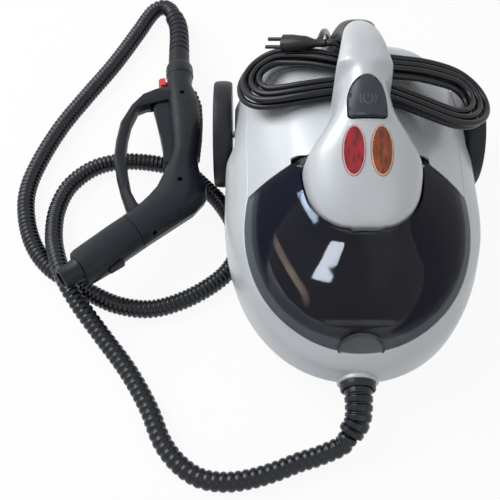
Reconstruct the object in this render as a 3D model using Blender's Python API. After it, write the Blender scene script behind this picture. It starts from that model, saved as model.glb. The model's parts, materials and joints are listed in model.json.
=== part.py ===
"""A canister steam cleaner: rolling machine, corrugated steam hose, steam gun and wound power cord.

Metres, +Z up. The machine stands to the right, facing -Y, and the gun lies on its side to the left.
"""
import math

import bmesh
import bpy
from mathutils import Matrix, Vector

# Clearances shared by every piece
CLEARANCE = 0.0003
RUNNING_GAP = 0.0006
OVERRUN = 0.004
SHARP_DEGREES = 32

# Where the machine and the gun stand on the floor
MACHINE_CENTRE_X = 0.0794
MACHINE_CENTRE_Y = -0.0550
GUN_ELBOW_X = -0.0936
GUN_ELBOW_Y = -0.0250
GUN_ELBOW_HEIGHT = 0.0435
GUN_TURN_DEGREES = 4.0
GUN_ROLL_DEGREES = 3.6
GUN_PITCH_DEGREES = -4.45

# Body of the machine
BODY_FRONT = 0.172
BODY_REAR = 0.174
BODY_HALF_WIDTH = 0.1315
BODY_HEIGHT = 0.184
SHELL_WALL = 0.0028
FRONT_ROUNDNESS = 2.15
REAR_ROUNDNESS = 4.5
BODY_STEPS = 28
HOLE_STEPS = 12
# height, half width, front reach, rear reach, fall per length towards the rear, spread of the rear
BODY_RING_SHARES = (
    (0.141, 0.930, 0.950, 0.950, 0.00, 0.00),
    (0.207, 0.985, 1.000, 0.990, 0.00, 0.00),
    (0.326, 1.000, 0.980, 1.000, 0.00, 0.00),
    (0.451, 0.990, 0.885, 0.998, 0.00, 0.00),
    (0.554, 0.915, 0.825, 0.995, 0.00, 0.04),
    (0.652, 0.810, 0.760, 0.990, 0.00, 0.10),
    (0.750, 0.690, 0.675, 0.980, 0.00, 0.12),
    (0.837, 0.560, 0.580, 0.935, 0.03, 0.12),
    (0.918, 0.420, 0.475, 0.855, 0.07, 0.12),
    (0.970, 0.270, 0.340, 0.700, 0.11, 0.10),
    (1.000, 0.120, 0.170, 0.420, 0.12, 0.10),
)
# Parting line round the body, seen from the side
PARTING_FRONT_Y = -0.154
PARTING_FRONT_Z = 0.077
PARTING_CORNER_Y = -0.010
PARTING_CORNER_Z = 0.118
PARTING_REAR_Z = 0.129
HOOD_BACK_TOP_Y = 0.005
HOOD_BACK_TOP_Z = 0.173

# Base pan
PAN_BOTTOM = 0.014
PAN_FLOOR = 0.003
PAN_HALF_WIDTH = 0.095
PAN_FRONT = 0.148
PAN_REAR = 0.148
PAN_FLANGE = 0.003
PAN_FLANGE_INSET = 0.0012
PAN_ROUNDNESS = 2.6

# Rear wheels and axle
WHEEL_RADIUS = 0.059
WHEEL_WIDTH = 0.020
WHEEL_INNER_X = 0.1245
WHEEL_Y = 0.115
TYRE_DEPTH = 0.006
WHEEL_WEB = 0.013
HUB_RADIUS = 0.012
HUB_RECESS = 0.0060
HUBCAP_RADIUS = 0.022
HUBCAP_DEPTH = 0.004
AXLE_RADIUS = 0.004
AXLE_BLOCK_WIDTH = 0.014
AXLE_BLOCK_LENGTH = 0.024
AXLE_BLOCK_X = 0.040
WELL_GAP = 0.006
WELL_DEPTH_GAP = 0.0033
WHEEL_STEPS = 22

# Front castor
CASTOR_Y = -0.100
CASTOR_TRAIL = 0.008
CASTOR_RADIUS = 0.014
CASTOR_WIDTH = 0.012
CASTOR_POCKET_RADIUS = 0.027
CASTOR_POCKET_TOP = 0.036
CASTOR_PIN_RADIUS = 0.0015
FORK_PLATE = 0.0025
FORK_RADIUS = 0.0125
CASTOR_STEM_TOP = 0.0385
STEM_RADIUS = 0.0030

# Boiler, filler neck and safety cap
BOILER_BOTTOM = 0.0395
BOILER_SPLIT = 0.0550
BOILER_TOP = 0.0700
BOILER_HALF_WIDTH = 0.086
BOILER_FRONT = 0.128
BOILER_REAR = 0.092
BOILER_FLANGE = 0.006
BOILER_FLANGE_THICKNESS = 0.006
BOILER_ROUND = 0.010
BOILER_WALL = 0.0040
BOILER_ROUNDNESS = 2.8
NECK_Y = -0.098
NECK_X = 0.018
NECK_RADIUS = 0.0155
NECK_BORE = 0.0105
NECK_TOP = 0.0880
CAP_RADIUS = 0.0225
CAP_HEIGHT = 0.024
CAP_GRIPS = 8
CAP_GRIP_DEPTH = 0.003
CAP_SPIGOT_LENGTH = 0.010
CAP_SEAL = 0.002
CAP_GAP = 0.0005
CAP_STUD_RADIUS = 0.0060
CAP_SKIRT = 0.0060
CAP_CROWN_SHARE = 0.90
HEATER_RADIUS = 0.0035
HEATER_SPREAD = 0.040
HEATER_REAR_Y = 0.098
HEATER_FRONT_Y = -0.015

# Inner cover under the hood
COVER_BOTTOM = 0.0720
COVER_FLOOR = 0.0030
COVER_INSET = 0.0036
COVER_LEDGE = 0.0125
COVER_REAR_Y = 0.0230
COVER_DROP = 0.0012
CATCH_WIDTH = 0.068
CATCH_DEPTH = 0.006
CATCH_HEIGHT = 0.012
CATCH_Y = -0.1285
BULKHEAD_THICKNESS = 0.0025
BULKHEAD_TOP = 0.1560
TUBE_RADIUS = 0.0040
# hand-laid route of the silicone steam tube; its ends meet the bulkhead wall and the cover's floor
STEAM_TUBE_POINTS = (
    (-0.0880, 0.0202, 0.1050), (-0.0880, 0.0100, 0.1050), (-0.0870, -0.0150, 0.1030), (-0.0830, -0.0380, 0.0990),
    (-0.0730, -0.0620, 0.0960), (-0.0620, -0.0830, 0.0930), (-0.0530, -0.0970, 0.0890), (-0.0500, -0.1035, 0.0820),
    (-0.0500, -0.1035, 0.0753),
)
BLOCK_WIDTH = 0.018
BLOCK_LENGTH = 0.032
BLOCK_HEIGHT = 0.014
BLOCK_X = -0.034
BLOCK_Y = -0.068
BLOCK_RIBS = 3
BLOCK_SLOT_SHARE = 0.70

# Hood
HOOD_WALL = 0.0025
HINGE_Y = -0.002
HINGE_Z = 0.1620
HINGE_PIN_RADIUS = 0.0015
EAR_RADIUS = 0.0040
EAR_INNER_X = 0.0560
EAR_WIDTH = 0.0050
HINGE_RELIEF_RADIUS = 0.0110
NOTCH_GAP = 0.0020
TAB_HALF_WIDTH = 0.0225
TAB_DEPTH = 0.0110
TAB_PROUD = 0.0012
TAB_WALL = 0.0022

# Spine: front bulb with the lenses, the button and the top of the handle
SPINE_FRONT = 0.079
SPINE_REAR = 0.132
SPINE_HALF_WIDTH = 0.056
SPINE_BOTTOM = 0.165
SPINE_RISE = 0.0805
SPINE_CAP_DEPTH = 0.012
SPINE_WALL = 0.0026
SPINE_ROUNDNESS = 2.25
SPINE_STEPS = 12
# place along the front reach, half width and rise of each station, as shares
SPINE_FRONT_SHARES = (
    (-1.000, 0.200, 0.075),
    (-0.965, 0.390, 0.160),
    (-0.860, 0.620, 0.265),
    (-0.700, 0.810, 0.375),
    (-0.480, 0.940, 0.490),
    (-0.190, 1.000, 0.640),
    (0.000, 0.900, 0.735),
)
# the same along the rear reach, and 1 where the station is only the cap over the grip
SPINE_REAR_SHARES = (
    (0.100, 0.735, 0.810, 0),
    (0.180, 0.620, 0.868, 0),
    (0.265, 0.553, 0.918, 0),
    (0.364, 0.509, 0.966, 0),
    (0.455, 0.461, 0.996, 1),
    (0.606, 0.389, 1.000, 1),
    (0.757, 0.325, 0.932, 1),
    (0.900, 0.259, 0.795, 1),
    (0.970, 0.196, 0.702, 1),
    (1.000, 0.107, 0.646, 1),
)
CONTROL_PLATE = 0.0030
LUG_WIDTH = 0.0120
LUG_LENGTH = 0.0080
LUG_HEIGHT = 0.0075
LUG_OUTER_X = 0.0525
POST_RADIUS = 0.0030

# Lenses, lamps, button and switch
LENS_HALF_WIDTH = 0.0104
LENS_HALF_LENGTH = 0.0205
LENS_X = 0.0126
LENS_Y = -0.0205
LENS_PROUD = 0.0008
LENS_WALL = 0.0030
LAMP_RADIUS = 0.0030
LAMP_LENGTH = 0.016
LAMP_TIP_SHARE = 0.6
BUTTON_HALF_WIDTH = 0.0180
BUTTON_LENGTH = 0.0410
BUTTON_PROUD = 0.0032
BUTTON_DEPTH = 0.0125
BUTTON_TRAVEL = 0.0028
BUTTON_TILT_DEGREES = 22.5
BUTTON_Y = 0.0234
BUTTON_Z = 0.2345
BUTTON_CORNER = 0.0040
BUTTON_SHOULDER_SHARE = -0.35
BOARD_WIDTH = 0.060
BOARD_LENGTH = 0.050
BOARD_THICKNESS = 0.0016
BOARD_Z = 0.1700
BOARD_Y = -0.0230
SWITCH_WIDTH = 0.022
SWITCH_LENGTH = 0.022
SWITCH_TOP_Z = 0.2125
SWITCH_Y = 0.0200

# Handle grip, from the spine back and down to the deck
GRIP_STEPS = 12
GRIP_REACH = 0.152
GRIP_HEIGHT = 0.222
GRIP_HALF_WIDTH = 0.015
GRIP_HALF_THICKNESS = 0.0115
# place along the reach, height, half width and half thickness of each station, as shares
GRIP_SHARES = (
    (0.300, 0.955, 0.92, 0.80),
    (0.375, 0.985, 1.00, 0.95),
    (0.480, 1.005, 1.02, 1.00),
    (0.610, 1.000, 1.04, 1.00),
    (0.735, 0.975, 1.10, 1.00),
    (0.850, 0.925, 1.22, 1.00),
    (0.932, 0.845, 1.40, 1.00),
    (0.978, 0.755, 1.62, 1.02),
    (1.000, 0.640, 1.85, 1.10),
)

# Hose outlet of the machine
OUTLET_Z = 0.0380
COLLAR_RADIUS = 0.0205
COLLAR_LENGTH = 0.0100
COLLAR_EDGE = 0.0020
COLLAR_Y = -0.1700
GLAND_RADIUS = 0.0152
GLAND_END_RADIUS = 0.0125
GLAND_ROOT_Y = -0.1580
# hand-laid route of the hose's bend relief, from its root
GLAND_POINTS = (
    (0.0, -0.1780, 0.0380), (0.0, -0.1960, 0.0345), (-0.0020, -0.2085, 0.0290), (-0.0090, -0.2185, 0.0225),
)
GLAND_SLITS = 5
GLAND_SLIT_DEPTH = 0.0018
RELIEF_PLAIN_SHARE = 0.22
OUTLET_PIPE_Z = 0.0455
OUTLET_PIPE_RADIUS = 0.0060

# Steam hose
HOSE_DIAMETER = 0.020
HOSE_RIB_DEPTH = 0.0013
HOSE_BORE = 0.0090
HOSE_RIBS = 120
HOSE_BORE_POINTS = 54
# hand-laid route over the floor from the machine's relief to the gun's; both ends join them
HOSE_POINTS = (
    (0.0614, -0.2830, 0.0150), (0.0404, -0.2910, 0.0108), (0.0214, -0.2970, 0.0103),
    (-0.0016, -0.3060, 0.0103), (-0.0256, -0.3130, 0.0103), (-0.0496, -0.3160, 0.0103),
    (-0.0736, -0.3120, 0.0103), (-0.0946, -0.2980, 0.0103), (-0.1116, -0.2760, 0.0103),
    (-0.1266, -0.2420, 0.0103), (-0.1496, -0.2030, 0.0103), (-0.1796, -0.1640, 0.0130),
    (-0.2036, -0.1340, 0.0225), (-0.2186, -0.1110, 0.0310), (-0.2326, -0.0790, 0.0255),
    (-0.2416, -0.0450, 0.0160), (-0.2426, -0.0090, 0.0112), (-0.2316, 0.0240, 0.0103),
    (-0.2056, 0.0490, 0.0103), (-0.1716, 0.0580, 0.0103), (-0.1306, 0.0540, 0.0103),
    (-0.0986, 0.0420, 0.0103), (-0.0786, 0.0230, 0.0103), (-0.0596, 0.0010, 0.0103),
    (-0.0446, -0.0260, 0.0103), (-0.0366, -0.0560, 0.0103), (-0.0486, -0.0860, 0.0103),
    (-0.0716, -0.1080, 0.0103), (-0.1016, -0.1250, 0.0103), (-0.1316, -0.1330, 0.0103),
    (-0.1636, -0.1290, 0.0103), (-0.1906, -0.1170, 0.0103), (-0.2166, -0.1010, 0.0103),
    (-0.2426, -0.0830, 0.0103), (-0.2626, -0.0570, 0.0103), (-0.2756, -0.0220, 0.0103),
    (-0.2796, 0.0160, 0.0103), (-0.2706, 0.0580, 0.0103), (-0.2506, 0.1090, 0.0103),
    (-0.2236, 0.1580, 0.0103), (-0.1946, 0.2080, 0.0103), (-0.1676, 0.2630, 0.0105),
    (-0.1586, 0.2820, 0.0115), (-0.1491, 0.2965, 0.0130), (-0.1381, 0.3005, 0.0152),
    (-0.1291, 0.2930, 0.0180),
)

# Power cord
CORD_DIAMETER = 0.0065
# hand-laid route from the cord's gland to the hank, and from the hank to the plug
LEAD_POINTS = (
    (-0.0190, 0.2000, 0.1230), (-0.0215, 0.1955, 0.1345), (-0.0245, 0.1870, 0.1455), (-0.0275, 0.1770, 0.1550),
    (-0.0300, 0.1660, 0.1620), (-0.0330, 0.1555, 0.1660), (-0.0390, 0.1475, 0.1672), (-0.0485, 0.1445, 0.1662),
)
HANK_TURNS = 6
HANK_LOOP_STEPS = 24
HANK_FIRST_STEP = 3
HANK_TURN_DEGREES = -10
HANK_HALF_LENGTH = 0.103
HANK_HALF_DEPTH = 0.017
HANK_HALF_WAIST = 0.0050
HANK_STEP = 0.0079
HANK_LAYER_HEIGHT = 0.0075
HANK_X = 0.008
HANK_Y = 0.092
HANK_Z = 0.1778
HANK_DROOP = 0.0223
HANK_FALL = 0.13
HANK_TAIL_POINTS = (
    (0.0020, 0.1219, 0.1862), (-0.0099, 0.1208, 0.1892), (-0.0200, 0.1250, 0.1933), (-0.0290, 0.1275, 0.1907),
)
PLUG_LENGTH = 0.034
PLUG_WIDTH = 0.018
PLUG_HEIGHT = 0.014
PLUG_RELIEF = 0.012
PLUG_NECK_SHARE = 0.70
PLUG_ROUNDNESS = 2.6
PIN_SPACING = 0.0110
PIN_LENGTH = 0.019
PIN_RADIUS = 0.0020
CORD_GLAND_RADIUS = 0.0050
CORD_GLAND_LENGTH = 0.022
CORD_GLAND_X = -0.018
CORD_GLAND_Y = 0.1640
CORD_GLAND_Z = 0.1120
CORD_GLAND_WALL = 0.0006

# Steam gun
GUN_STEPS = 14
GUN_ROUNDNESS = 2.5
GUN_GRIP_LENGTH = 0.193
GUN_GRIP_WIDTH = 0.038
GUN_HALF_THICKNESS = 0.0175
GUN_BARREL_LENGTH = 0.159
GUN_BARREL_WIDTH = 0.0365
GUN_BARREL_DEGREES = 214.5
# place along the grip, inner and outer edge as shares of the grip's width, share of the thickness
GRIP_EDGE_SHARES = (
    (1.000, -0.474, 0.342, 0.92),
    (0.922, -0.474, 0.289, 0.95),
    (0.829, -0.474, 0.447, 0.98),
    (0.736, -0.474, 0.553, 1.00),
    (0.611, -0.447, 0.553, 1.00),
    (0.492, -0.421, 0.500, 1.00),
    (0.373, -0.421, 0.421, 1.00),
    (0.290, -0.526, 0.368, 1.00),
    (0.197, -0.710, 0.447, 1.00),
    (0.114, -0.895, 0.579, 1.00),
)
# the elbow's sections: inner point and outer point, as shares of the grip's width and length
ELBOW_EDGE_SHARES = (
    (-1.132, 0.052, 0.553, 0.036),
    (-1.342, 0.005, 0.211, -0.047),
    (-1.526, -0.026, -0.447, -0.145),
)
# place along the barrel, upper and lower edge as shares of its width; the sleeve starts at the second
BARREL_EDGE_SHARES = (
    (0.377, 0.740, -0.405),
    (0.421, 0.712, -0.422),
    (0.547, 0.671, -0.460),
    (0.692, 0.603, -0.559),
    (0.830, 0.529, -0.548),
    (0.865, 0.466, -0.507),
)
# the guard's sections: outer point, inner point and share of its thickness
GUARD_EDGE_SHARES = (
    (-0.370, 0.917, -0.370, 0.777, 1.60),
    (-0.816, 0.896, -0.816, 0.756, 1.50),
    (-1.237, 0.855, -1.132, 0.746, 1.30),
    (-1.605, 0.762, -1.368, 0.720, 1.10),
    (-1.921, 0.632, -1.579, 0.601, 1.00),
    (-2.053, 0.482, -1.684, 0.482, 1.00),
    (-2.105, 0.358, -1.737, 0.358, 1.00),
    (-2.026, 0.207, -1.684, 0.238, 1.00),
    (-1.895, 0.083, -1.579, 0.098, 1.05),
    (-1.737, -0.031, -1.395, 0.016, 1.10),
    (-1.526, -0.114, -1.158, -0.041, 1.10),
)
GUARD_HALF_THICKNESS = 0.0080
GUN_NOZZLE_RADIUS = 0.0115
GUN_NOZZLE_BORE = 0.0088
GUN_NOZZLE_ROOT = 0.0135
NOZZLE_FLOOR_SHARE = 0.15
NOZZLE_TAPER_SHARE = 0.35
JET_RADIUS = 0.0035
JET_BORE = 0.0012
JET_SHARE = 0.85
GUN_COLLAR_RADIUS = 0.0165
GUN_COLLAR_LENGTH = 0.020
GUN_COLLAR_SHIFT = -0.0025
GUN_COLLAR_SHARE = 0.80
RELIEF_RADIUS = 0.0130
RELIEF_END_RADIUS = 0.0115
RELIEF_LENGTH = 0.092
# sideways bend and way along the gun's relief
RELIEF_BEND_SHARES = ((0.0, 0.0), (0.0, 0.120), (0.008, 0.350), (0.015, 0.600), (0.004, 0.820), (-0.045, 1.000))
RELIEF_SLITS = 6
RELIEF_SLIT_DEPTH = 0.0016
TRIGGER_HALF_THICKNESS = 0.0060
TRIGGER_PIVOT_U = -0.0220
TRIGGER_PIVOT_V = 0.1540
TRIGGER_PIN_RADIUS = 0.0015
TRIGGER_SLOT_TOP = 0.168
TRIGGER_SLOT_BOTTOM = 0.050
TRIGGER_SLOT_BACK = 0.008
TRIGGER_SLOT_FRONT = -0.038
TRIGGER_EDGE_SHARE = 0.80
TRIGGER_FLAT_SHARE = 0.66
# the trigger's outline as shares of the grip's width and length
TRIGGER_SHARES = (
    (-0.658, 0.3005), (-0.658, 0.399), (-0.737, 0.523), (-0.842, 0.653), (-0.921, 0.731), (-0.868, 0.788),
    (-0.711, 0.829), (-0.526, 0.850), (-0.342, 0.829), (-0.263, 0.674), (-0.237, 0.518), (-0.237, 0.358),
    (-0.368, 0.3005),
)
TRIGGER_PIN_HALF = 0.0085
LOCK_LENGTH = 0.0110
LOCK_WIDTH = 0.0100
LOCK_REACH = 0.0085
LOCK_V = 0.1850
LOCK_EDGE = -0.0195
LOCK_STEM_WIDTH = 0.0040
LOCK_TOP_SHARE = 0.70
LOCK_STEM = 0.0050
LOCK_TRAVEL = 0.0040
VALVE_LENGTH = 0.026
VALVE_WIDTH = 0.010
VALVE_V = 0.104
PAD_HALF_WIDTH = 0.0085
PAD_RIBS = 14
PAD_LOW_SHARE = 0.34
PAD_HIGH_SHARE = 0.86
PAD_BACK = 0.0106
PAD_RIB_SHARE = 0.50
PAD_SINK = 0.0016
PAD_PROUD = 0.0026
LATCH_LENGTH = 0.018
LATCH_WIDTH = 0.009
LATCH_PROUD = 0.0025
LATCH_DEPTH = 0.0045
LATCH_TRAVEL = 0.0022
LATCH_SHARE = 0.66
LATCH_EDGE = -0.0197


# Building helpers
def empty(name, location=(0, 0, 0), parent=None):
    """Adds an empty that places or carries other objects."""
    obj = bpy.data.objects.new(name, None)
    bpy.context.scene.collection.objects.link(obj)
    obj.location = location
    obj.parent = parent
    return obj


def finish(name, color, roughness, metallic=0.0, transmission=0.0):
    """Makes a Principled material."""
    mat = bpy.data.materials.new(name)
    mat.use_nodes = True
    shader = mat.node_tree.nodes["Principled BSDF"]
    shader.inputs["Base Color"].default_value = (*color, 1)
    shader.inputs["Roughness"].default_value = roughness
    shader.inputs["Metallic"].default_value = metallic
    shader.inputs["Transmission Weight"].default_value = transmission
    return mat


def place(name, bm):
    """Turns a bmesh into a linked object with outward faces."""
    bmesh.ops.recalc_face_normals(bm, faces=bm.faces)
    mesh = bpy.data.meshes.new(name)
    bm.to_mesh(mesh)
    bm.free()
    obj = bpy.data.objects.new(name, mesh)
    bpy.context.scene.collection.objects.link(obj)
    return obj


def apply_modifiers(obj):
    """Replaces an object's mesh by what its modifiers make of it."""
    depsgraph = bpy.context.evaluated_depsgraph_get()
    mesh = bpy.data.meshes.new_from_object(obj.evaluated_get(depsgraph))
    obj.modifiers.clear()
    obj.data = mesh


def weld(obj):
    """Merges the doubled points that a cut leaves."""
    bm = bmesh.new()
    bm.from_mesh(obj.data)
    bmesh.ops.remove_doubles(bm, verts=bm.verts, dist=CLEARANCE / 30)
    bm.to_mesh(obj.data)
    bm.free()


def combine(target, tool, operation):
    """Runs one exact Boolean and removes the tool."""
    modifier = target.modifiers.new(operation.lower(), "BOOLEAN")
    modifier.operation = operation
    modifier.object = tool
    modifier.solver = "EXACT"
    apply_modifiers(target)
    weld(target)
    bpy.data.objects.remove(tool)
    return target


def cut(target, *tools):
    """Takes the tools out of the target."""
    for tool in tools:
        combine(target, tool, "DIFFERENCE")
    return target


def join(target, *tools):
    """Fuses the tools to the target."""
    for tool in tools:
        combine(target, tool, "UNION")
    return target


def keep(target, tool):
    """Keeps what the target shares with the tool."""
    return combine(target, tool, "INTERSECT")


def copy_solid(obj, name):
    """A second solid of the same form."""
    other = bpy.data.objects.new(name, obj.data.copy())
    bpy.context.scene.collection.objects.link(other)
    return other


def clean(obj, limit_degrees=0.5):
    """Drops the edges that a cut leaves in flat faces."""
    bm = bmesh.new()
    bm.from_mesh(obj.data)
    bmesh.ops.dissolve_limit(bm, angle_limit=math.radians(limit_degrees), verts=bm.verts, edges=bm.edges)
    bm.to_mesh(obj.data)
    bm.free()
    return obj


def settle(obj, mat, parent, has_cuts=True, origin=None):
    """Gives a finished piece its material and parent, and its own origin where it turns or slides."""
    if has_cuts:
        clean(obj)
    mesh = obj.data
    if origin:
        mesh.transform(Matrix.Translation(-Vector(origin)))
    mesh.shade_smooth()
    mesh.set_sharp_from_angle(angle=math.radians(SHARP_DEGREES))
    mesh.materials.clear()
    mesh.materials.append(mat)
    obj.parent = parent
    return obj


def loft(rings):
    """Skins a stack of closed rings of equal counts and caps both ends."""
    bm = bmesh.new()
    loops = [[bm.verts.new(point) for point in ring] for ring in rings]
    count = len(loops[0])
    for low, high in zip(loops, loops[1:]):
        for i in range(count):
            j = (i + 1) % count
            bm.faces.new((low[i], low[j], high[j], high[i]))
    bm.faces.new(list(reversed(loops[0])))
    bm.faces.new(loops[-1])
    return bm


def prism(outline, low, high, to_point):
    """Extrudes a flat outline between two depths; to_point turns (a, b, depth) into a place."""
    return loft([[to_point(a, b, depth) for a, b in outline] for depth in (low, high)])


def flat(a, b, depth):
    """Outline in X and Y, depth along Z."""
    return (a, b, depth)


def sideways(a, b, depth):
    """Outline in Y and Z, depth along X."""
    return (depth, a, b)


def block(x0, x1, y0, y1, z0, z1):
    """A plain box between two corners."""
    return prism(((x0, y0), (x1, y0), (x1, y1), (x0, y1)), z0, z1, flat)


def rounded(half_a, half_b, radius, steps=4, centre=(0, 0)):
    """A rectangle with rounded corners."""
    points = []
    for corner, (sign_a, sign_b) in enumerate(((1, 1), (-1, 1), (-1, -1), (1, -1))):
        for step in range(steps + 1):
            angle = math.radians(90) * (corner + step / steps)
            a = centre[0] + sign_a * (half_a - radius) + radius * math.cos(angle)
            b = centre[1] + sign_b * (half_b - radius) + radius * math.sin(angle)
            points.append((a, b))
    return points


def oval(half_a, half_b, steps, centre=(0, 0), roundness=2.0):
    """A closed superellipse."""
    points = []
    for step in range(steps):
        angle = math.tau * step / steps
        a = math.copysign(abs(math.cos(angle)) ** (2 / roundness), math.cos(angle))
        b = math.copysign(abs(math.sin(angle)) ** (2 / roundness), math.sin(angle))
        points.append((centre[0] + half_a * a, centre[1] + half_b * b))
    return points


def turned(profile, steps, to_point):
    """Revolves a closed (radius, height) profile; to_point turns (a, b, height) into a place."""
    bm = bmesh.new()
    rings = []
    for radius, height in profile:
        if radius == 0:
            rings.append([bm.verts.new(to_point(0, 0, height))])
        else:
            turns = [math.tau * step / steps for step in range(steps)]
            rings.append([bm.verts.new(to_point(radius * math.cos(t), radius * math.sin(t), height)) for t in turns])
    for low, high in zip(rings, rings[1:] + rings[:1]):
        for i in range(steps):
            j = (i + 1) % steps
            corners = [low[i % len(low)], low[j % len(low)], high[j % len(high)], high[i % len(high)]]
            corners = [v for k, v in enumerate(corners) if v not in corners[:k]]
            if len(corners) > 2:
                bm.faces.new(corners)
    return bm


def upright(centre):
    """Height along Z through a centre."""
    return lambda a, b, height: (centre[0] + a, centre[1] + b, centre[2] + height)


def across(centre, side=1):
    """Height along X, outward on the given side, through a centre."""
    return lambda a, b, height: (centre[0] + side * height, centre[1] + a, centre[2] + b)


def along(start, direction):
    """Height along a direction from a start."""
    turn = Vector(direction).to_track_quat("Z", "Y").to_matrix()
    return lambda a, b, height: Vector(start) + turn @ Vector((a, b, height))


def rod(radius, length, steps, to_point):
    """A plain cylinder from its start."""
    return turned(((0, 0), (radius, 0), (radius, length), (0, length)), steps, to_point)


# Smooth routes for hoses and cords
def smooth_route(points, spacing):
    """Reads evenly spaced places from a smooth curve through the route's points."""
    nodes = [Vector(p) for p in points]
    nodes = [2 * nodes[0] - nodes[1]] + nodes + [2 * nodes[-1] - nodes[-2]]
    fine = []
    for before, start, stop, after in zip(nodes, nodes[1:], nodes[2:], nodes[3:]):
        for step in range(24):
            t = step / 24
            fine.append(0.5 * (2 * start + (stop - before) * t
                               + (2 * before - 5 * start + 4 * stop - after) * t ** 2
                               + (3 * start - before - 3 * stop + after) * t ** 3))
    fine.append(nodes[-2])
    length = sum((b - a).length for a, b in zip(fine, fine[1:]))
    count = max(2, round(length / spacing))
    places = [fine[0]]
    walked, goal = 0.0, length / count
    for a, b in zip(fine, fine[1:]):
        step = (b - a).length
        while goal <= walked + step and len(places) < count:
            places.append(a.lerp(b, (goal - walked) / step))
            goal += length / count
        walked += step
    places.append(fine[-1])
    return places, length


def tube(name, places, radii, resolution, mat=None, parent=None):
    """A round tube along places, as a bevelled poly curve with filled caps."""
    curve = bpy.data.curves.new(name, "CURVE")
    curve.dimensions = "3D"
    curve.bevel_depth = 1
    curve.bevel_resolution = resolution
    curve.use_fill_caps = True
    spline = curve.splines.new("POLY")
    spline.points.add(len(places) - 1)
    for point, place_at, radius in zip(spline.points, places, radii):
        point.co = (*place_at, 1)
        point.radius = radius
    obj = bpy.data.objects.new(name, curve)
    bpy.context.scene.collection.objects.link(obj)
    if mat:
        curve.materials.append(mat)
    obj.parent = parent
    return obj


def as_mesh(obj):
    """Replaces a curve object by a mesh object of the same name."""
    depsgraph = bpy.context.evaluated_depsgraph_get()
    mesh = bpy.data.meshes.new_from_object(obj.evaluated_get(depsgraph))
    name, parent = obj.name, obj.parent
    bpy.data.objects.remove(obj)
    solid = bpy.data.objects.new(name, mesh)
    bpy.context.scene.collection.objects.link(solid)
    solid.parent = parent
    return solid


# The body's rounded form, from which the shells, hood and cover are cut
def body_rings(offset=0.0, bottom=None):
    """The body's rings, moved out by the offset along the wall's slope."""
    sizes = []
    for height, width, front, rear, fall, spread in BODY_RING_SHARES:
        sizes.append((height * BODY_HEIGHT, width * BODY_HALF_WIDTH, front * BODY_FRONT, rear * BODY_REAR, fall,
                      spread))
    rings = []
    for index, (height, width, front, rear, fall, spread) in enumerate(sizes):
        below = sizes[max(index - 1, 0)]
        above = sizes[min(index + 1, len(sizes) - 1)]
        slope = Vector((above[1] - below[1], above[0] - below[0])).normalized()
        out, up = offset * slope.y, -offset * slope.x
        if index == 0:
            up = 0
            height = height if bottom is None else bottom
        if index == len(sizes) - 1:
            up = offset
        ring = []
        for step in range(BODY_STEPS):
            angle = math.tau * step / BODY_STEPS
            is_rear = math.sin(angle) > 0
            power = 2 / (REAR_ROUNDNESS if is_rear else FRONT_ROUNDNESS)
            y = math.copysign(abs(math.sin(angle)) ** power, math.sin(angle))
            x = math.copysign(abs(math.cos(angle)) ** power, math.cos(angle))
            widen = 1 + spread * max(y, 0)
            y *= (rear + out) if is_rear else (front + out)
            ring.append(((width * widen + out) * x, y, height + up - fall * y))
        rings.append(ring)
    return rings


def body_solid(name, offset=0.0, bottom=None):
    """The whole rounded body as one solid."""
    return place(name, loft(body_rings(offset, bottom)))


def parting_height(y):
    """Height of the parting line at a place along the body."""
    if y < PARTING_CORNER_Y:
        slope = (PARTING_CORNER_Z - PARTING_FRONT_Z) / (PARTING_CORNER_Y - PARTING_FRONT_Y)
    else:
        slope = (PARTING_REAR_Z - PARTING_CORNER_Z) / (BODY_REAR - PARTING_CORNER_Y)
    return PARTING_CORNER_Z + slope * (y - PARTING_CORNER_Y)


def over_parting(lift=0.0):
    """A block over the parting line, lifted by a gap."""
    front, rear, top = -2 * BODY_FRONT, 2 * BODY_REAR, 2 * BODY_HEIGHT
    outline = ((front, parting_height(front) + lift), (PARTING_CORNER_Y, PARTING_CORNER_Z + lift),
               (rear, parting_height(rear) + lift), (rear, top), (front, top))
    return place("over_parting", prism(outline, -2 * BODY_HALF_WIDTH, 2 * BODY_HALF_WIDTH, sideways))


def under_parting(lift=0.0):
    """A block under the parting line, lifted by a gap."""
    front, rear, low = -2 * BODY_FRONT, 2 * BODY_REAR, -BODY_HEIGHT
    outline = ((front, low), (rear, low), (rear, parting_height(rear) + lift),
               (PARTING_CORNER_Y, PARTING_CORNER_Z + lift), (front, parting_height(front) + lift))
    return place("under_parting", prism(outline, -2 * BODY_HALF_WIDTH, 2 * BODY_HALF_WIDTH, sideways))


def hood_line(z):
    """Where the hood's rear edge lies at a height."""
    slope = (HOOD_BACK_TOP_Y - PARTING_CORNER_Y) / (HOOD_BACK_TOP_Z - PARTING_CORNER_Z)
    return PARTING_CORNER_Y + slope * (z - PARTING_CORNER_Z)


def beside_hood_line(forward, shift=0.0):
    """A block before or behind the hood's rear edge, moved back by a gap."""
    low, top = -BODY_HEIGHT, 2 * BODY_HEIGHT
    far = -2 * BODY_FRONT if forward else 2 * BODY_REAR
    outline = ((far, low), (hood_line(low) + shift, low), (hood_line(top) + shift, top), (far, top))
    return place("beside_hood_line", prism(outline, -2 * BODY_HALF_WIDTH, 2 * BODY_HALF_WIDTH, sideways))


def wheel_well(side, wall=0.0):
    """The round recess for a wheel, thickened by a wall."""
    inner = WHEEL_INNER_X - WELL_DEPTH_GAP - wall
    centre = (side * inner, WHEEL_Y, WHEEL_RADIUS)
    radius = WHEEL_RADIUS + WELL_GAP + wall
    return place("wheel_well", rod(radius, BODY_HALF_WIDTH, WHEEL_STEPS, across(centre, side)))


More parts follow.
